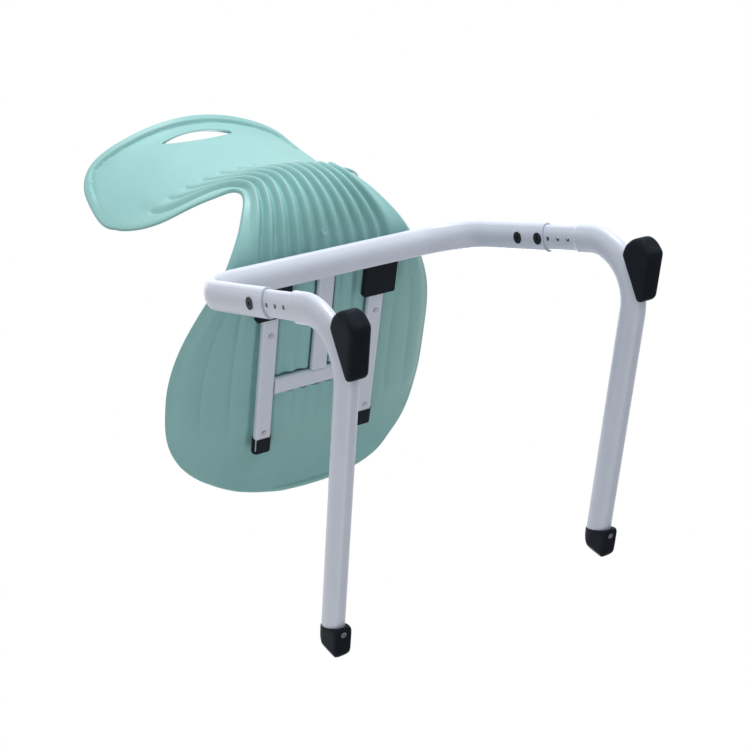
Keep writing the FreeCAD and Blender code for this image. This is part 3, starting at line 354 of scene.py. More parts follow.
# Soft thermoplastic rubber: dull, with a faint bloom.
BLACK_RUBBER = Surface("black rubber moulded dull", "20242C", "1A1E24", (0.6, 0.72),
                       grain_mm=1.4, grain_height_mm=0.03, cloud_mm=18, gloss=0.05)
# Steel with black oxide: dark and dull, with a fine turned grain.
BLACK_OXIDE_STEEL = Surface("steel black oxide turned", "1A1D22", "131519", (0.4, 0.55),
                            grain_mm=0.7, grain_height_mm=0.01, cloud_mm=5, gloss=0.2)
# Steel screws with bright zinc: grey with a soft metal highlight.
ZINC_STEEL = Surface("steel bright zinc plated", "A3A4AA", "85868E", (0.3, 0.45),
                     grain_mm=0.6, grain_height_mm=0.008, cloud_mm=4, metallic=1.0)
FINISHES = {
    Finish.SHELL: MINT_POLYPROPYLENE,
    Finish.PAINT: PALE_GREY_POWDER_COAT,
    Finish.PLASTIC: BLACK_POLYPROPYLENE,
    Finish.RUBBER: BLACK_RUBBER,
    Finish.BLACK_STEEL: BLACK_OXIDE_STEEL,
    Finish.SCREW: ZINC_STEEL,
}


class Wardrobe:
    """The finishes as materials, made once."""

    def __init__(self) -> None:
        """Build every finish."""
        self.materials = {finish: surface.material() for finish, surface in FINISHES.items()}

    def dress(self, piece: Piece, finish: Finish) -> None:
        """Give a piece one finish all over."""
        piece.data.materials.clear()
        piece.data.materials.append(self.materials[finish])

    def dress_nodes(self) -> None:
        """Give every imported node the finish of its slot."""
        for row in frame["record"]["subparts"]:
            self.dress(frame["nodes"][row["node"]], Finish(row["material_slot"]))


@dataclass
class ShellLine:
    """The centre line and outline of the shell, from the rear of the seat rails.

    Places on the line are pairs of depth and height. The sides and the back are stations of the
    outline: the length beyond the widest place of the seat or beyond the waist, and the half width.
    """

    origin: Pair = (-111.986, 392.425)
    seat_over_rail: float = 12
    slope: float = math.tan(math.radians(4.45))
    seat_front: float = 365
    lip_length: float = 57
    lip_drop: float = 24.8
    bend_start: float = 20
    hollow: Pair = (-80.3, 88)
    lumbar: Pair = (-34.7, 252)
    upper: Pair = (-38, 347)
    top: Pair = (-52.3, 414.3)
    top_roll: float = math.radians(35)
    quarter_share: float = 0.5523
    back_share: float = 0.36
    run_steps: int = 100
    tip_half: float = 62
    seat_half: float = 213
    seat_wide_length: float = 152
    seat_power: float = 1.5
    seat_steps: int = 60
    sides: tuple[Pair, ...] = ((0, 213), (108, 198), (227, 140), (280, 108.6), (339.6, 84.5))
    side_steps: int = 20
    armpit_radius: float = 22
    back: tuple[Pair, ...] = (
        (31, 114.5), (39.5, 122), (49, 129.8), (61, 137.6), (78, 147), (98, 156.9), (120, 167.5),
        (141.5, 178.3), (154, 185.2), (164, 190.9), (176, 195.9), (190, 198.1), (206.5, 198.2), (222, 196.8),
        (238.5, 194.6), (255, 191.9), (275, 188), (292, 183.5), (304, 178.7), (313, 173.2), (319, 167.2),
        (323, 159.5), (325.7, 151), (327.5, 142.5), (328.6, 134), (329.2, 124), (329.5, 113))
    back_steps: int = 12
    top_half: float = 104
    rim_step: float = 1.5
    window_half: int = 14
    window_width: float = 5.0
    end_slack: float = 0.05
    least_step: float = 1e-4

    def __post_init__(self) -> None:
        """Lay out the centre line, its main stations and the outline."""
        self.points = self.trace()
        self.lengths = [0.0]
        for index in range(1, len(self.points)):
            self.lengths.append(self.lengths[-1] + (self.points[index] - self.points[index - 1]).length)
        self.end = self.lengths[-1]
        self.lip_at = self.at_depth(self.seat_front - self.lip_length)
        self.wide_at = self.at_depth(self.seat_front - self.seat_wide_length)
        self.bar_at = self.at_depth(0)
        self.upper_at = self.at_height(self.upper[1])
        self.waist_at = self.wide_at + self.sides[-1][0]
        self.rim_at, self.rim_half = np.array(self.outline()).T

    def trace(self) -> list[Vector]:
        """Draw the middle of the sitting surface.

        Returns:
            Its points, from the tip of the seat to the top.
        """
        lip_depth = self.seat_front - self.lip_length
        lip = Vector((0, lip_depth, self.seat_over_rail + self.slope * lip_depth))
        tip = Vector((0, self.seat_front, lip.z - self.lip_drop))
        ahead = Vector((0, 1, self.slope))
        up = Vector((0, 0, 1))
        start = Vector((0, self.bend_start, self.seat_over_rail + self.slope * self.bend_start))
        hollow, lumbar, upper, top = (
            Vector((0, *spot)) for spot in (self.hollow, self.lumbar, self.upper, self.top))
        rise = (lumbar.z - hollow.z) * self.back_share
        reach = (top.z - upper.z) * self.back_share
        back = Vector((0, -math.sin(self.top_roll), math.cos(self.top_roll))) * reach
        quarter = self.quarter_share
        runs = [
            (tip, tip + up * self.lip_drop * quarter, lip + ahead * self.lip_length * quarter, lip),
            (lip, lip.lerp(start, 1 / 3), lip.lerp(start, 2 / 3), start),
            (start, start - ahead * (start.y - hollow.y) * quarter,
             hollow - up * (hollow.z - start.z) * quarter, hollow),
            (hollow, hollow + up * rise, lumbar - up * rise, lumbar),
            (lumbar, lumbar.lerp(upper, 1 / 3), lumbar.lerp(upper, 2 / 3), upper),
            (upper, upper + up * reach, top - back, top),
        ]
        return [tip, *(self.bezier(run, step / self.run_steps) for run in runs
                       for step in range(1, self.run_steps + 1))]

    @staticmethod
    def bezier(run: Sequence[Vector], share: float) -> Vector:
        """Return the point at a share of a cubic curve."""
        rest = 1 - share
        return (run[0] * rest ** 3 + run[1] * 3 * rest ** 2 * share + run[2] * 3 * rest * share ** 2
                + run[3] * share ** 3)

    def at_depth(self, depth: float) -> float:
        """Return the length from the tip where the seat is at a depth."""
        return next(at for at, point in zip(self.lengths, self.points) if point.y <= depth + TINY)

    def at_height(self, height: float) -> float:
        """Find where the back is at a height.

        Args:
            height: The height above the rear of the rails.

        Returns:
            The length from the tip, or that of the top where the back ends below.
        """
        for at, point in zip(self.lengths, self.points):
            if point.y < 0 and point.z >= height - TINY:
                return at
        return self.lengths[-1]

    def spot(self, at: float) -> Vector:
        """Find a point of the centre line.

        Args:
            at: The length from the tip.

        Returns:
            The point, in the middle plane.
        """
        index = min(max(bisect.bisect_right(self.lengths, at), 1), len(self.points) - 1)
        low, high = self.lengths[index - 1], self.lengths[index]
        return self.points[index - 1].lerp(self.points[index], (at - low) / (high - low))

    def facing(self, at: float, first: float = 0.0, last: float = math.inf) -> Vector:
        """Return the direction towards the sitter, held beyond two lengths.

        Args:
            at: The length from the tip.
            first: Below this length the direction is held.
            last: Above this length the direction is held.

        Returns:
            A unit vector square to the centre line.
        """
        held = min(max(at, first), last, self.end - 1)
        along = (self.spot(min(held + 1, self.end)) - self.spot(max(held - 1, 0))).normalized()
        return Vector((0, along.z, -along.y))

    def outline(self) -> list[Pair]:
        """Draw the outline of one side.

        Returns:
            Pairs of length from the tip and half width.
        """
        pairs = []
        root = 1 / self.seat_power
        first = math.acos((self.tip_half / self.seat_half) ** self.seat_power)
        for step in range(self.seat_steps):
            angle = first * (1 - step / self.seat_steps)
            share = (math.sin(angle) / math.sin(first)) ** root
            depth = self.seat_front - self.seat_wide_length * (1 - share)
            pairs.append((self.at_depth(depth), self.seat_half * math.cos(angle) ** root))
        pairs += self.flank()
        waist = self.sides[-1][1]
        low = self.spot(self.waist_at).z
        for step in range(self.side_steps):
            angle = math.pi / 2 * step / self.side_steps
            pairs.append((self.at_height(low + self.armpit_radius * math.sin(angle)),
                          waist + self.armpit_radius * (1 - math.cos(angle))))
        stations = [(self.waist_at + station, half) for station, half in self.back]
        spots = np.array([pairs[-1], *stations, (self.end, self.top_half)], float)
        run = self.running(spots)
        pairs += self.curve(spots, run, np.gradient(spots, run, axis=0), np.linspace(0, 1, self.back_steps))
        return self.eased(self.rising(pairs))

    def flank(self) -> list[Pair]:
        """Draw the outline from the widest place of the seat to the waist.

        Returns:
            Pairs of length from the tip and half width.
        """
        spots = np.array(self.sides, float) + (self.wide_at, 0)
        slopes = np.ones_like(spots)
        slopes[:, 1] = np.gradient(spots[:, 1], spots[:, 0])
        slopes[[0, -1], 1] = 0
        return self.curve(spots, spots[:, 0], slopes, np.arange(self.side_steps) / self.side_steps)

    @staticmethod
    def running(spots: np.ndarray) -> np.ndarray:
        """Return the length along a line of places, from nought at the first of them."""
        return np.concatenate([[0], np.cumsum(np.hypot(*np.diff(spots, axis=0).T))])

    @staticmethod
    def curve(spots: np.ndarray, run: np.ndarray, slopes: np.ndarray, shares: np.ndarray) -> list[Pair]:
        """Return a smooth curve through places.

        Args:
            spots: The places, one in a row.
            run: How far along the curve each of them is.
            slopes: The direction of the curve at each of them.
            shares: Where points are set between each place and the next.

        Returns:
            The points of the curve.
        """
        pairs = []
        for index, span in enumerate(np.diff(run)):
            for share in shares:
                square, cube = share ** 2, share ** 3
                place = ((2 * cube - 3 * square + 1) * spots[index]
                         + (cube - 2 * square + share) * span * slopes[index]
                         + (3 * square - 2 * cube) * spots[index + 1]
                         + (cube - square) * span * slopes[index + 1])
                pairs.append((float(place[0]), float(place[1])))
        return pairs

    def eased(self, pairs: Sequence[Pair]) -> list[Pair]:
        """Return an outline without corners: it is laid out evenly and averaged over a short window.

        Args:
            pairs: Length from the tip and half width, from the tip to the top.

        Returns:
            The eased pairs, from where the outline leaves the tip to where it reaches the top.
        """
        corners = np.array([(pairs[0][0], 0.0), *pairs, (pairs[-1][0], 0.0)])
        run = self.running(corners)
        places = np.linspace(0, run[-1], int(run[-1] / self.rim_step))
        even = np.column_stack([np.interp(places, run, corners[:, side]) for side in (0, 1)])
        reach = self.window_half
        window = np.exp(-(np.arange(-reach, reach + 1) / self.window_width) ** 2)
        window /= window.sum()
        padded = np.vstack([np.repeat(even[:1], reach, axis=0), even, np.repeat(even[-1:], reach, axis=0)])
        soft = np.column_stack([np.convolve(padded[:, side], window, "valid") for side in (0, 1)])
        first = max(index for index, spot in enumerate(soft) if spot[0] < pairs[0][0] + self.end_slack)
        last = min(index for index, spot in enumerate(soft) if spot[0] > pairs[-1][0] - self.end_slack)
        kept = [(float(at), float(half)) for at, half in soft[first:last + 1]]
        kept[0] = (pairs[0][0], kept[0][1])
        kept[-1] = (pairs[-1][0], kept[-1][1])
        return self.rising(kept)

    def rising(self, pairs: Sequence[Pair]) -> list[Pair]:
        """Leave out the pairs that do not go on along the line.

        Args:
            pairs: Length from the tip and half width.

        Returns:
            The pairs that are left.
        """
        kept = [pairs[0]]
        for pair in pairs[1:]:
            if pair[0] > kept[-1][0] + self.least_step:
                kept.append(pair)
        return kept

    def half_width(self, at: float) -> float:
        """Return half the width of the shell at a length from the tip."""
        return float(np.interp(at, self.rim_at, self.rim_half))

    def world(self, local: Vector) -> Vector:
        """Return a place of the shell in metres in the frame of the model."""
        return Vector((local.x, local.y + self.origin[0], local.z + self.origin[1])) * MM


# Heights on the back, above the rear of the rails, at which its forms change.
STATION_HEIGHTS = {"deep": 29, "hollow": 44, "fade": 194, "dish": 198, "tips": 238, "rim": 300, "crown": 395}
# Values along the shell, each key a station, a length beyond it and the value there.
SHELL_KEYS: dict[str, Keys] = {
    # Curvature across the shell.
    "dish": (("tip", 0, 0), ("half_lip", 0, 0.0006), ("tip", 100, 0.00078), ("wide", 0, 0.00076),
             ("bar", 0, 0.0003), ("waist", 0, 0.00145), ("dish", 0, 0.0017)),
    # Spacing of the ribs; depth, half width in pitches and sharpness of the flutes between them.
    "pitch": (("bar", 0, 21), ("waist", 0, 14.2), ("tips", 0, 27.2)),
    "flute_depth": (("lip", 0, 0), ("lip", 57, 3.2), ("bar", -30, 3.2), ("bar", 2, 6.2), ("deep", 0, 9.4),
                    ("fade", -8, 8.8), ("tips", -9, 3.4), ("tips", 0, 0)),
    "flute_half": (("fade", -40, 0.5), ("tips", 0, 0.3)),
    "flute_power": (("bar", 0, 0.9), ("deep", 0, 1.2), ("fade", 0, 1.45)),
    # Strength of the flute outside the outer rib, and depth of the grooves along the pads.
    "outer_flute": (("waist", -60, 0), ("waist", 10, 1)),
    "pad_groove": (("lip", 20, 0), ("lip", 90, 3.0), ("bar", -70, 3.0), ("bar", -10, 0)),
    # Wall on the ribs and beside them.
    "rib_wall": (("tip", 0, 6), ("lip", 0, 6), ("lip", 57, 13), ("bar", -52, 13), ("bar", 0, 10),
                 ("hollow", 0, 12.5), ("fade", 0, 11.59), ("tips", 0, 9.25), ("tips", 45, 6)),
    "side_wall": (("tip", 0, 6), ("lip", 0, 6), ("lip", 57, 13), ("bar", -52, 13), ("bar", 0, 10),
                  ("hollow", 0, 6)),
    # Strength of the rolled rim, and how far its crease lies from the edge.
    "rolled_rim": (("waist", 60, 0), ("rim", 0, 0.08), ("crown", 0, 1)),
    "crease": (("rim", 0, 9), ("crown", 0, 13)),
    # How far the tip of the seat bows out in the middle, and the top falls away at the sides.
    "tip_bow": (("tip", 0, 4.8), ("tip", 35, 0)),
    "top_fall": (("top", -60, 0), ("top", 0, 2.4)),
}


@dataclass
class MouldedShell:
    """The one-piece seat and back: ribs under the bend, a handle slot and a rolled top rim.

    A column of its mesh is named by its turn: the distance from the middle in rib pitches as far as
    the flute beyond the outer rib, then a share of the margin, then a step of those to the edge.
    """

    line: ShellLine = field(default_factory=ShellLine)
    row_step: float = 6
    row_gap: float = 0.12
    tip_rows: tuple[float, ...] = (-2.5, 0.0, 2.5, 5.0, 8.0)
    phases: tuple[float, ...] = (0.0, 0.045, 0.12, 0.25, 0.36, 0.43)
    outer_rib: int = 5
    pitches_in_half: float = 6.1
    outer_flank: float = 0.25
    outer_fall: float = 0.75
    outer_depth: float = 3.6
    margin_start: float = 0.72
    taper_share: float = 0.7
    edge_wall: float = 4.5
    margin_shares: tuple[float, ...] = (0.05, 0.11, 0.15, 0.18, 0.21, 0.25, 0.33, 0.48, 0.6, 0.65, 0.68, 0.71,
                                        0.76, 0.87)
    groove_shares: Pair = (0.18, 0.68)
    groove_width: float = 3.8
    edge_steps: tuple[float, ...] = (17, 14.5, 12.6, 11.2, 9.8, 8.2, 6.2, 4.2, 2.6, 1.6, 0.8, 0.25, 0.0)
    edge_share: float = 0.8
    slot_steps: tuple[float, ...] = (0.8, 2.2, 4.2, 7, 11)
    slot_half: float = 58.5
    slot_slack: float = 0.5
    slot_upper: float = 9
    slot_lower: float = 20.5
    slot_end: float = 2.2
    slot_below_top: float = 39.9
    slot_round: float = 4
    slot_inset: float = 2.0
    slot_reach_up: float = 38
    slot_reach_down: float = 60
    slot_lift: float = 5
    slot_lift_span: Pair = (-1, 18)
    slot_rim: float = 1.2
    slot_rim_span: Pair = (2.0, 8.0)
    rim_round: float = 2.25
    sewing_gap: float = 0.01
    rim_lip: float = 2.6
    rim_lip_fall: float = 3.5
    crease_depth: float = 2.2
    crease_width: float = 2.4
    bow_half: float = 60
    fall_half: float = 100
    gate_size: float = 10
    gate_length: float = 5
    gate_height: float = 21
    gate_overlap: float = 2.1
    gate_rim: float = 1.0
    gate_dimple: Pair = (1.8, 0.5)
    rail_half_spacing: float = 84
    rail_length: float = 290
    cross_reach: float = 188
    channel_width: float = 33
    channel_start: float = -12
    channel_end: float = 20
    channel_top: float = 7.6
    channel_depth: float = 40
    channel_round: float = 1.5

    def __post_init__(self) -> None:
        """Find the stations along the shell and lay out the tables of the values there."""
        line = self.line
        self.stations = {"tip": 0.0, "half_lip": line.lip_at / 2, "lip": line.lip_at, "wide": line.wide_at,
                         "bar": line.bar_at, "waist": line.waist_at, "top": line.end}
        self.stations |= {name: line.at_height(height) for name, height in STATION_HEIGHTS.items()}
        self.slot_at = line.at_height(line.top[1] - self.slot_below_top)
        self.tables = {name: ([self.stations[station] + beyond for station, beyond, _ in keys],
                              [value for _, _, value in keys]) for name, keys in SHELL_KEYS.items()}
        self.last_flute = self.outer_rib + 0.5

    def keyed(self, name: str, at: float) -> float:
        """Look up a value that glides from key to key.

        Args:
            name: The row of the table.
            at: The length from the tip.

        Returns:
            The value there.
        """
        places, values = self.tables[name]
        index = bisect.bisect_right(places, at)
        if index == 0:
            return values[0]
        if index == len(places):
            return values[-1]
        low, high = values[index - 1], values[index]
        return low + (high - low) * smooth_share(at, places[index - 1], places[index])

    def pitch(self, at: float, half: float) -> float:
        """Return the spacing of the ribs, closed up where the shell is narrow."""
        return min(self.keyed("pitch", at), half / self.pitches_in_half)

    def valley(self, at: float, turn: float) -> float:
        """Return the share of the flute depth at a place counted in rib pitches from the middle.

        Args:
            at: The length from the tip.
            turn: The distance from the middle plane in rib pitches.

        Returns:
            One at the bottom of a flute and nought on a ridge; flutes narrow to points at their tips.
        """
        share = (0.5 - abs(turn - round(turn))) / self.keyed("flute_half", at)
        if turn > self.last_flute:
            share = (turn - self.last_flute) / self.outer_flank
        strength = self.keyed("outer_flute", at) if turn > self.outer_rib else 1.0
        return strength * (0.5 + 0.5 * math.cos(math.pi * min(share, 1.0))) ** self.keyed("flute_power", at)

    def thickness(self, at: float, across: float, half: float) -> float:
        """Return the wall of the shell.

        Args:
            at: The length from the tip.
            across: The distance from the middle plane.
            half: Half the width of the shell there.

        Returns:
            The distance from the sitting surface to the underside.
        """
        pitch = self.pitch(at, half)
        turn = abs(across) / pitch
        outer = smooth_share(turn, self.outer_rib, self.outer_rib + self.outer_fall)
        depth = self.keyed("flute_depth", at)
        wall = self.keyed("rib_wall", at) * (1 - outer) + self.keyed("side_wall", at) * outer
        wall -= (depth * (1 - outer) + min(depth, self.outer_depth) * outer) * self.valley(at, turn)
        margin = (self.outer_rib + self.margin_start) * pitch
        taper = margin + self.taper_share * (half - margin)
        edge = smooth_share(abs(across), taper, half)
        wall = wall * (1 - edge) + self.edge_wall * edge
        rim = self.slot_rim * (1 - smooth_share(self.slot_gap(at, across), *self.slot_rim_span))
        return wall - self.pad_grooves(at, abs(across), half, pitch) + rim

    def pad_grooves(self, at: float, across: float, half: float, pitch: float) -> float:
        """Work out the grooves along the outer pads of the seat.

        Args:
            at: The length from the tip.
            across: The distance from the middle plane.
            half: Half the width of the shell there.
            pitch: The spacing of the ribs there.

        Returns:
            Their depth.
        """
        depth = self.keyed("pad_groove", at)
        places = [self.margin_place(share, half, pitch) for share in self.groove_shares]
        return sum(depth * math.exp(-((across - place) / self.groove_width) ** 2) for place in places)

    def slot_open(self, across: float, above: bool) -> float:
        """Work out how far the handle slot opens from the line through its ends.

        Args:
            across: The distance from the middle plane.
            above: Whether the upper edge is meant.

        Returns:
            The distance of the edge from that line.
        """
        share = min(abs(across) / self.slot_half, 1.0)
        middle = self.slot_upper if above else self.slot_lower
        return self.slot_end + (middle - self.slot_end) * (1 - share * share)

    def slot_gap(self, at: float, across: float) -> float:
        """Return the distance of a place from the edge of the handle slot."""
        return math.hypot(max(abs(across) - self.slot_half, 0.0),
                          max(abs(at - self.slot_at) - self.slot_open(across, at > self.slot_at), 0.0))

    def rows(self) -> list[float]:
        """Space the rows of the mesh evenly round the outline.

        Returns:
            Their lengths from the tip.
        """
        at, half = self.line.rim_at, self.line.rim_half
        run = self.line.running(np.column_stack([at, half]))
        count = int(run[-1] / self.row_step)
        rows = list(np.interp(np.linspace(0, run[-1], count + 1), run, at))
        fixed = [end + sign * step for end, sign in ((at[0], 1), (at[-1], -1)) for step in self.edge_steps]
        fixed += [self.stations["tips"] - step for step in self.tip_rows]
        fixed += [self.slot_at + sign * (self.slot_end + step) for sign in (-1, 1)
                  for step in (0.0, *self.slot_steps)]
        rows = [row for row in rows if abs(row - self.slot_at) > self.slot_end + self.slot_steps[-1] + 1
                and min(abs(row - other) for other in fixed) > self.row_gap]
        return sorted(float(row) for row in rows + fixed)

    def turns(self) -> list[float]:
        """Lay out the columns of the mesh.

        Returns:
            Their turns, from the left edge to the right.
        """
        inner = sorted({round(rib + sign * phase, 4) for rib in range(self.outer_rib + 1)
                        for phase in self.phases for sign in (-1, 1) if rib + sign * phase >= 0}
                       | {rib + 0.5 for rib in range(self.outer_rib + 1)})
        half = inner + [self.last_flute + share for share in self.margin_shares] + [
            self.last_flute + 1 + step for step in range(len(self.edge_steps))]
        return [-turn for turn in half[:0:-1]] + half

    def across(self, at: float, turn: float) -> float:
        """Find where a column runs.

        Args:
            at: The length from the tip.
            turn: The column.

        Returns:
            Its distance from the middle plane.
        """
        half = self.line.half_width(at)
        pitch = self.pitch(at, half)
        share = abs(turn) - self.last_flute
        if share <= 0:
            return turn * pitch
        if share < 1:
            place = self.margin_place(share, half, pitch)
        else:
            place = half - self.closed_up(half, pitch) * self.edge_steps[round(share - 1)]
        return math.copysign(place, turn)

    def closed_up(self, half: float, pitch: float) -> float:
        """Return by how much the columns along the edge close up where the margin is narrow."""
        return min(1.0, self.edge_share * (half - self.last_flute * pitch) / self.edge_steps[0])

    def margin_place(self, share: float, half: float, pitch: float) -> float:
        """Return the distance from the middle at a share of the margin between ribs and edge."""
        first = self.last_flute * pitch
        return first + share * (half - self.closed_up(half, pitch) * self.edge_steps[0] - first)

    def place(self, at: float, across: float, wall: float) -> Vector:
        """Return a point of the shell.

        Args:
            at: The length from the tip.
            across: The distance from the middle plane.
            wall: The depth below the sitting surface.

        Returns:
            The point in metres.
        """
        line = self.line
        bow = line.facing(at, line.lip_at, line.upper_at) * (self.keyed("dish", at) * across * across)
        local = line.spot(at) + bow - line.facing(at, 0, line.upper_at) * wall
        return line.world(local + Vector((across, 0, 0)))

    def opened(self, at: float, across: float) -> float:
        """Move a row aside round the handle slot.

        Args:
            at: The length of the row from the tip.
            across: The distance from the middle plane.

        Returns:
            The length after the move.
        """
        if abs(across) > self.slot_half + self.slot_slack:
            return at
        gap = at - self.slot_at
        grow = self.slot_open(across, gap > 0) - self.slot_end
        reach = self.slot_reach_up if gap > 0 else self.slot_reach_down
        fall = max(0.0, 1 - (abs(gap) - self.slot_end) / reach)
        return at + math.copysign(grow * fall * fall, gap)

    def rim_distances(self, spots: np.ndarray) -> np.ndarray:
        """Return how far places of the shell lie from its outline.

        Args:
            spots: Rows of distance from the middle and length from the tip.

        Returns:
            One distance for each row.
        """
        rim = np.column_stack([self.line.rim_half, self.line.rim_at])
        rim = np.vstack([(0.0, rim[0, 1]), rim, (0.0, rim[-1, 1])])
        best = np.full(len(spots), math.inf)
        flat = np.column_stack([np.abs(spots[:, 0]), spots[:, 1]])
        for start, step in zip(rim, np.diff(rim, axis=0)):
            share = np.clip(((flat - start) @ step) / (step @ step), 0, 1)
            best = np.minimum(best, np.linalg.norm(flat - start - share[:, None] * step, axis=1))
        return best

    def build(self) -> Piece:
        """Model the shell.

        Returns:
            The finished piece, with its channels cut and its rims rounded.
        """
        rows, turns = self.rows(), self.turns()
        piece = add_mesh(bpy.ops.mesh.primitive_grid_add, x_subdivisions=len(turns) - 1,
                         y_subdivisions=len(rows) - 1, size=1)
        piece.name = "moulded_shell"
        spots = self.lay_out(piece, rows, turns)
        self.open_slot(piece, rows, turns)
        with editing(piece):
            bpy.ops.mesh.select_all(action="SELECT")
            bpy.ops.mesh.duplicate()
            bpy.ops.mesh.flip_normals()
        self.shape(piece, spots)
        self.close_rims(piece)
        self.cut_channels(piece)
        self.add_gate(piece)
        smooth(piece, degrees=38)
        return piece

    def lay_out(self, piece: Piece, rows: list[float], turns: list[float]) -> np.ndarray:
        """Work out the place on the shell of each vertex of the grid.

        Args:
            piece: The flat grid.
            rows: The lengths of its rows.
            turns: Its columns.

        Returns:
            Rows of distance from the middle and length from the tip.
        """
        spots = np.zeros((len(piece.data.vertices), 2))
        for index, vertex in enumerate(piece.data.vertices):
            at = rows[round((vertex.co.y + 0.5) * (len(rows) - 1))]
            across = self.across(at, turns[round((vertex.co.x + 0.5) * (len(turns) - 1))])
            spots[index] = across, self.opened(at, across)
        return spots

    def open_slot(self, piece: Piece, rows: list[float], turns: list[float]) -> None:
        """Delete the faces of the grid inside the handle slot.

        Args:
            piece: The flat grid.
            rows: The lengths of its rows.
            turns: Its columns.
        """
        low = rows.index(self.slot_at - self.slot_end)
        middle = (low + 0.5) / (len(rows) - 1) - 0.5
        inside = [column for column, turn in enumerate(turns)
                  if abs(self.across(self.slot_at, turn)) <= self.slot_half + self.slot_slack]
        first, last = (inside[end] / (len(turns) - 1) - 0.5 for end in (0, -1))
        mark(piece.data, piece.data.polygons, lambda face: abs(face.center.y - middle) < 0.2 / len(rows)
             and first < face.center.x < last)
        with editing(piece):
            bpy.ops.mesh.delete(type="FACE")

    def shape(self, piece: Piece, spots: np.ndarray) -> None:
        """Move the vertices of both faces of the shell to their places.

        Args:
            piece: The grid and its copy, vertex for vertex.
            spots: The place on the shell of each vertex of the grid.
        """
        vertices = piece.data.vertices
        for index, gap in enumerate(self.rim_distances(spots)):
            across, at = spots[index]
            wall = self.thickness(at, across, max(self.line.half_width(at), abs(across)))
            wall += self.rolled_rim(at, gap)
            inset = max(wall / 2 * self.rounding(gap / self.rim_round),
                        self.slot_inset * self.rounding(self.slot_gap(at, across) / self.slot_round))
            bowed = at + self.bowed(at, across)
            vertices[index].co = self.place(bowed + self.lifted(at, across), across, inset)
            vertices[index + len(spots)].co = self.place(bowed, across, wall - inset)
        piece.data.update()

    def bowed(self, at: float, across: float) -> float:
        """Return how far the rows curve outwards at the tip of the seat and fall away at the top."""
        tip = self.keyed("tip_bow", at) * max(0.0, 1 - (across / self.bow_half) ** 2)
        return -tip - self.keyed("top_fall", at) * min((across / self.fall_half) ** 2, 1.0)

    @staticmethod
    def rounding(share: float) -> float:
        """Return how far a rounded edge falls away at a share of its radius from the edge."""
        return 1 - math.sqrt(1 - (1 - share) ** 2) if share < 1 else 0.0

    def lifted(self, at: float, across: float) -> float:
        """Work out the draft of the upper edge of the slot.

        Args:
            at: The length from the tip.
            across: The distance from the middle plane.

        Returns:
            How far the front face slides up.
        """
        if at < self.slot_at:
            return 0.0
        share = min(abs(across) / self.slot_half, 1.0)
        height = at - self.slot_at - self.slot_open(across, True)
        return self.slot_lift * (1 - share * share) * (1 - smooth_share(height, *self.slot_lift_span))

    def rolled_rim(self, at: float, gap: float) -> float:
        """Work out the lip rolled back along the edge of the back.

        Args:
            at: The length from the tip.
            gap: The distance from the outline.

        Returns:
            The change of wall.
        """
        crease = self.keyed("crease", at)
        lip = self.rim_lip * (1 - smooth_share(gap, crease - self.rim_lip_fall, crease))
        groove = self.crease_depth * math.exp(-((gap - crease) / self.crease_width) ** 2)
        return self.keyed("rolled_rim", at) * (lip - groove)

    def close_rims(self, piece: Piece) -> None:
        """Sew the two faces of the shell together along the outline and bridge them round the slot.

        Args:
            piece: Both faces of the shell.
        """
        with editing(piece, "VERT"):
            bpy.ops.mesh.select_all(action="SELECT")
            bpy.ops.mesh.remove_doubles(threshold=self.sewing_gap * MM)
        uses: dict[tuple[int, int], int] = {}
        for face in piece.data.polygons:
            for key in face.edge_keys:
                uses[key] = uses.get(key, 0) + 1
        mark(piece.data, piece.data.edges, lambda edge: uses.get(tuple(sorted(edge.vertices))) == 1)
        with editing(piece, "EDGE"):
            bpy.ops.mesh.bridge_edge_loops()
            bpy.ops.mesh.select_all(action="SELECT")
            bpy.ops.mesh.normals_make_consistent(inside=False)

    def cut_channels(self, piece: Piece) -> None:
        """Cut the channels of the rails, the strut and the cross bar into the underside.

        Args:
            piece: The closed shell.
        """
        rear, front = self.channel_start, self.rail_length + self.channel_end
        half, width, cross = self.rail_half_spacing, self.channel_width, self.cross_reach
        boxes = [(-half, width, rear, front), (half, width, rear, front), (0, width, rear, cross),
                 (0, 2 * half, cross - width / 2, cross + width / 2)]
        for box in boxes:
            combine(piece, self.channel_block(*box), "DIFFERENCE")

    def channel_block(self, middle: float, wide: float, first: float, last: float) -> Piece:
        """Model a block along the rails with rounded upper edges, to cut a channel.

        Args:
            middle: Its distance from the middle plane.
            wide: Its width.
            first: Where it starts along the rails.
            last: Where it ends along the rails.

        Returns:
            The block, in place.
        """
        deep = self.channel_depth
        block = add_mesh(bpy.ops.mesh.primitive_cube_add, size=1,
                         scale=(wide * MM, (last - first) * MM, deep * MM))
        ends, top = block.data.vertices, deep / 2 * MM
        mark(block.data, block.data.edges,
             lambda edge: all(abs(ends[end].co.z - top) < TINY for end in edge.vertices))
        with editing(block, "EDGE"):
            bpy.ops.mesh.bevel(offset=self.channel_round * MM, segments=3, affect="EDGES")
        block.location = Vector((middle, (first + last) / 2, self.channel_top - deep / 2)) * MM
        settle(block)
        block.rotation_euler.x = math.atan(self.line.slope)
        settle(block)
        block.location = self.line.world(Vector((0, 0, 0)))
        settle(block)
        return block

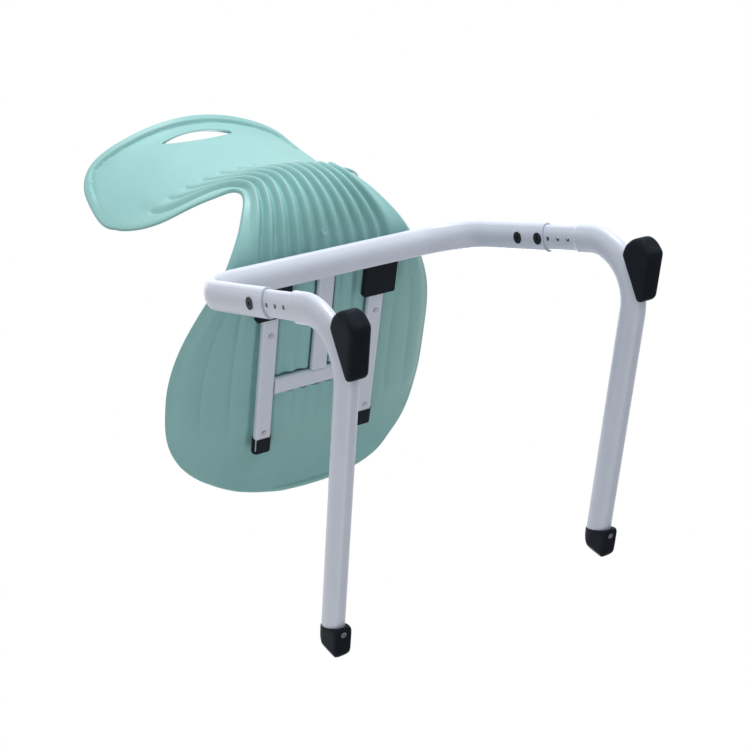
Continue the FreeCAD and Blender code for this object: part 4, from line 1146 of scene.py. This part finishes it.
    def add_gate(self, piece: Piece) -> None:
        """Join on the round boss that the moulding gate leaves on the middle rib.

        Args:
            piece: The shell.
        """
        at = self.line.at_height(self.gate_height)
        facing = self.line.facing(at)
        wall = self.thickness(at, 0, self.line.half_width(at))
        boss = add_mesh(bpy.ops.mesh.primitive_cylinder_add, vertices=32, radius=self.gate_size / 2 * MM,
                        depth=self.gate_length * MM)
        mark(boss.data, boss.data.polygons, lambda face: face.normal.z < -0.9)
        with editing(boss):
            bpy.ops.mesh.inset(thickness=self.gate_rim * MM)
            bpy.ops.mesh.inset(thickness=self.gate_dimple[0] * MM, depth=-self.gate_dimple[1] * MM)
        boss.rotation_euler = facing.to_track_quat("Z", "X").to_euler()
        boss.location = self.line.world(self.line.spot(at) - facing * (wall - self.gate_overlap))
        settle(boss)
        pick(piece, boss)
        bpy.ops.object.join()


@dataclass
class MouldedFoot:
    """A black foot: a block cut to its side outline, rounded in plan and softened all over.

    The outline is pairs of the length from the start and the height, and the spare length is more
    than any foot needs, for cutters that go right through.
    """

    name: str
    node: str
    start: float
    outline: tuple[Pair, ...]
    plan_middle: float
    plan_length: float
    plan_round: float
    edge_round: float
    softening: int
    width: float = 24.5
    voxel: float = 1.0
    half_spacing: float = 207
    spare: float = 100
    block_spare: float = 20

    def build(self) -> list[Piece]:
        """Model the foot once and copy it to both legs.

        Returns:
            The left and the right foot.
        """
        piece = self.block()
        combine(piece, self.plan_block(), "INTERSECT")
        self.trim(piece)
        apply_modifier(piece, "REMESH", mode="VOXEL", voxel_size=self.voxel * MM)
        apply_modifier(piece, "SMOOTH", factor=0.5, iterations=self.softening)
        apply_modifier(piece, "DECIMATE", ratio=0.5)
        self.finish(piece)
        smooth(piece, degrees=40)
        feet = []
        for side, sign in SIDES.items():
            foot = bpy.data.objects.new(f"{side}_{self.name}", piece.data.copy())
            bpy.context.scene.collection.objects.link(foot)
            foot.location.x = sign * self.half_spacing * MM
            settle(foot)
            feet.append(foot)
        bpy.data.objects.remove(piece)
        return feet

    def block(self) -> Piece:
        """Cut a block to the side outline, one plane for each edge of it.

        Returns:
            The block, with rounded edges.
        """
        reach, height = (max(spot[side] for spot in self.outline) for side in (0, 1))
        middle = Vector((0, self.start + reach / 2, height / 2)) * MM
        scale = (self.width * MM, (reach + self.block_spare) * MM, (height + self.block_spare) * MM)
        block = add_mesh(bpy.ops.mesh.primitive_cube_add, middle, size=1, scale=scale)
        with editing(block):
            for first, last in zip(self.outline, self.outline[1:] + self.outline[:1]):
                self.cut(first, last)
            bpy.ops.mesh.select_all(action="SELECT")
            bpy.ops.mesh.bevel(offset=self.edge_round * MM, segments=5, affect="EDGES", clamp_overlap=True)
        return block

    def cut(self, first: Pair, last: Pair) -> None:
        """Cut the piece in edit mode along an edge of its side outline and drop what lies outside.

        Args:
            first: Where the edge starts.
            last: Where the edge ends.
        """
        outward = Vector((0, last[1] - first[1], first[0] - last[0])).normalized()
        bpy.ops.mesh.select_all(action="SELECT")
        bpy.ops.mesh.bisect(plane_co=Vector((0, self.start + first[0], first[1])) * MM, plane_no=outward,
                            use_fill=True, clear_outer=True)

    def plan_block(self) -> Piece:
        """Model a tall block with rounded upright edges, the outline of the foot from above.

        Returns:
            The block.
        """
        tall = 2 * self.spare * MM
        plan = add_mesh(bpy.ops.mesh.primitive_cube_add, (0, self.plan_middle * MM, 0), size=1,
                        scale=(self.width * MM, self.plan_length * MM, tall))
        ends = plan.data.vertices
        mark(plan.data, plan.data.edges,
             lambda edge: abs(ends[edge.vertices[0]].co.z - ends[edge.vertices[1]].co.z) > tall / 2)
        with editing(plan, "EDGE"):
            bpy.ops.mesh.bevel(offset=self.plan_round * MM, segments=10, affect="EDGES")
        return plan

    def trim(self, piece: Piece) -> None:
        """Give the foot the form of its own kind before it is softened."""

    def finish(self, piece: Piece) -> None:
        """Cut the fine forms after the foot is softened."""


@dataclass
class RearBoot(MouldedFoot):
    """The boot on the outside of the bend of a leg."""

    bend: Pair = (-150.3, 89.5)
    saddle: float = 78

    def trim(self, piece: Piece) -> None:
        """Cut the saddle that leaves the inside of the bend free."""
        saddle = add_mesh(bpy.ops.mesh.primitive_cylinder_add, Vector((0, *self.bend)) * MM, vertices=128,
                          radius=self.saddle * MM, depth=self.spare * MM, rotation=(0, math.pi / 2, 0))
        combine(piece, saddle, "DIFFERENCE")


@dataclass
class FrontShoe(MouldedFoot):
    """The shoe on the end of a runner, an oval sleeve on a floor pad."""

    runner_height: float = 24.5
    sleeve: Pair = (24.5, 40.5)
    sleeve_middle: float = 25
    screw_node: str = "left_foot_screw"
    recess: float = 4.6
    recess_depth: float = 2.6
    recess_length: float = 20
    mouth: tuple[Pair, Pair] = ((20, 46), (-1, 0))

    def trim(self, piece: Piece) -> None:
        """Keep what lies in the sleeve or in the floor pad below it.

        Args:
            piece: The shoe.
        """
        middle = self.start + self.sleeve_middle
        wide, tall = (size * MM for size in self.sleeve)
        sleeve = add_mesh(bpy.ops.mesh.primitive_cylinder_add, vertices=96, radius=0.5, depth=1,
                          rotation=(math.pi / 2, 0, 0))
        sleeve.scale = (wide, self.spare * MM, tall)
        sleeve.location = Vector((0, middle, self.runner_height)) * MM
        settle(sleeve)
        pad = add_mesh(bpy.ops.mesh.primitive_cube_add, Vector((0, middle, self.runner_height / 2)) * MM,
                       size=1, scale=(wide, self.spare * MM, self.runner_height * MM))
        combine(sleeve, pad, "UNION")
        combine(piece, sleeve, "INTERSECT")

    def finish(self, piece: Piece) -> None:
        """Cut the mouth of the sleeve and sink the recess of the foot screw into the sole.

        Args:
            piece: The softened shoe.
        """
        with editing(piece):
            self.cut(*self.mouth)
        low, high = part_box(self.screw_node)
        depth = self.recess_length * MM
        hole = add_mesh(bpy.ops.mesh.primitive_cylinder_add,
                        (0, (low[1] + high[1]) / 2, self.recess_depth * MM - depth / 2), vertices=32,
                        radius=self.recess * MM, depth=depth)
        combine(piece, hole, "DIFFERENCE")


@dataclass(frozen=True)
class Lamp:
    """A square soft lamp: where it hangs and what it points at, its side in metres and its watts."""

    name: str
    spot: Triple
    target: Triple
    size: float
    watts: float

    def hang(self) -> None:
        """Add the lamp to the scene."""
        data = bpy.data.lights.new(self.name, "AREA")
        data.size = self.size
        data.energy = self.watts
        lamp = bpy.data.objects.new(self.name, data)
        bpy.context.scene.collection.objects.link(lamp)
        lamp.location = self.spot
        lamp.rotation_euler = (Vector(self.target) - Vector(self.spot)).to_track_quat("-Z", "Y").to_euler()


@dataclass(frozen=True)
class Studio:
    """The floor, the lamps, the surroundings and the camera, in metres.

    The strong lamp is behind the chair, where the photograph looks from, and a second one lights its
    front. Weak ones fill in from above and from below.
    """

    lamps: tuple[Lamp, ...] = (
        Lamp("key", (0.35, -3.4, 1.3), (0, -0.1, 0.5), 1.4, 112),
        Lamp("top", (0.3, 0.4, 2.9), (0, 0, 0.5), 1.8, 10),
        Lamp("rear fill", (1.2, -2.1, -0.4), (0, -0.1, 0.4), 1.2, 10),
        Lamp("under fill", (-1.9, 0.9, -0.9), (0, 0, 0.2), 1.4, 10),
        Lamp("front", (0.9, 3.1, 2.0), (0, 0.1, 0.55), 1.6, 60),
    )
    sky: float = 0.43
    floor_size: float = 5
    floor_drop: float = 0.0005
    floor_glow: float = 0.3
    lens_mm: float = 73.518
    sensor_mm: float = 36
    eye: Triple = (-1.00491, -0.97841, -1.15996)
    right: Triple = (0.83492918, -0.0567077, -0.54742808)
    down: Triple = (-0.22790139, 0.86976342, -0.43769002)
    into: Triple = (0.50095331, 0.49019979, 0.71326709)

    def floor(self) -> None:
        """Lay a pale floor that shows from above and lets the view through from below."""
        floor = add_mesh(bpy.ops.mesh.primitive_grid_add, (0, 0, -self.floor_drop), x_subdivisions=4,
                         y_subdivisions=4, size=self.floor_size)
        floor.name = "floor"
        material = bpy.data.materials.new("pale painted floor")
        tree = fresh_tree(material)
        paint = add_node(tree, "ShaderNodeBsdfDiffuse", values={"Color": linear("ECECEC")})
        clear = add_node(tree, "ShaderNodeBsdfTransparent")
        seen = seen_by(tree, "Is Camera Ray", "Is Glossy Ray")
        below = add_node(tree, "ShaderNodeNewGeometry").outputs["Backfacing"]
        shown = add_node(tree, "ShaderNodeMath", {0: seen, 1: below}, operation="SUBTRACT", use_clamp=True)
        glow = add_node(tree, "ShaderNodeEmission",
                        values={"Color": linear("FFFFFF"), "Strength": self.floor_glow})
        pale = add_node(tree, "ShaderNodeAddShader", {0: paint.outputs[0], 1: glow.outputs[0]})
        mixed = add_node(tree, "ShaderNodeMixShader",
                         {"Fac": shown.outputs[0], 1: clear.outputs[0], 2: pale.outputs[0]})
        add_node(tree, "ShaderNodeOutputMaterial", {"Surface": mixed.outputs[0]})
        floor.data.materials.append(material)

    def surroundings(self) -> None:
        """Set a white backdrop and an even sky light."""
        world = bpy.data.worlds.new("studio")
        bpy.context.scene.world = world
        tree = fresh_tree(world)
        seen = seen_by(tree, "Is Camera Ray", "Is Glossy Ray", "Is Transmission Ray")
        sky, white = (
            add_node(tree, "ShaderNodeBackground", values={"Color": linear("FFFFFF"), "Strength": strength})
            for strength in (self.sky, 1.0))
        mixed = add_node(tree, "ShaderNodeMixShader", {"Fac": seen, 1: sky.outputs[0], 2: white.outputs[0]})
        add_node(tree, "ShaderNodeOutputWorld", {"Surface": mixed.outputs[0]})

    def camera(self) -> None:
        """Set the camera at the place and angle of the photograph."""
        data = bpy.data.cameras.new("camera")
        data.lens = self.lens_mm
        data.sensor_width = self.sensor_mm
        camera = bpy.data.objects.new("camera", data)
        bpy.context.scene.collection.objects.link(camera)
        axes = Matrix((Vector(self.right), -Vector(self.down), -Vector(self.into)))
        camera.matrix_world = Matrix.Translation(self.eye) @ axes.transposed().to_4x4()
        bpy.context.scene.camera = camera

    def build(self) -> None:
        """Set up the whole studio."""
        bpy.context.scene.view_settings.view_transform = "Standard"
        self.camera()
        self.surroundings()
        for lamp in self.lamps:
            lamp.hang()
        self.floor()


def carry(piece: Piece, body: str, finish: Finish, wardrobe: Wardrobe, *nodes: str) -> None:
    """Dress a piece, let it ride on a body and stand for the nodes it replaces.

    Args:
        piece: The finished piece.
        body: The body that carries it.
        finish: Its finish.
        wardrobe: The materials.
        *nodes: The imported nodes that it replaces.
    """
    wardrobe.dress(piece, finish)
    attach(piece, body)
    if nodes:
        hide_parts(*nodes)
    LOG.info("%s: %d faces on %s", piece.name, len(piece.data.polygons), body)


def main() -> None:
    """Build the chair and its studio."""
    logging.basicConfig(level=logging.INFO, format="%(message)s")
    wardrobe = Wardrobe()
    wardrobe.dress_nodes()
    Studio().build()
    carry(MouldedShell().build(), FRAME_BODY, Finish.SHELL, wardrobe, "seat_shell")
    feet = (
        RearBoot("rear_boot", "rear_foot", start=-253.015, plan_middle=-208.015, plan_length=90,
                 plan_round=12.5, edge_round=4.5, softening=40, width=27,
                 outline=((14, 0), (74.5, 0), (82, 8), (31.5, 46.5), (17, 42.2), (6.5, 33.2), (0, 19.5))),
        FrontShoe("front_shoe", "front_foot", start=159.985, plan_middle=180.735, plan_length=49.5,
                  plan_round=12, edge_round=3, softening=45,
                  outline=((-16, 0), (38, 0), (45, 5), (48, 14), (47, 23), (42, 30), (35, 37), (24, 44),
                           (2, 47))),
    )
    for foot in feet:
        for side, piece in zip(SIDES, foot.build()):
            carry(piece, f"{side}_leg_assembly", Finish.PLASTIC, wardrobe, f"{side}_{foot.node}")


if __name__ == "__main__":
    main()
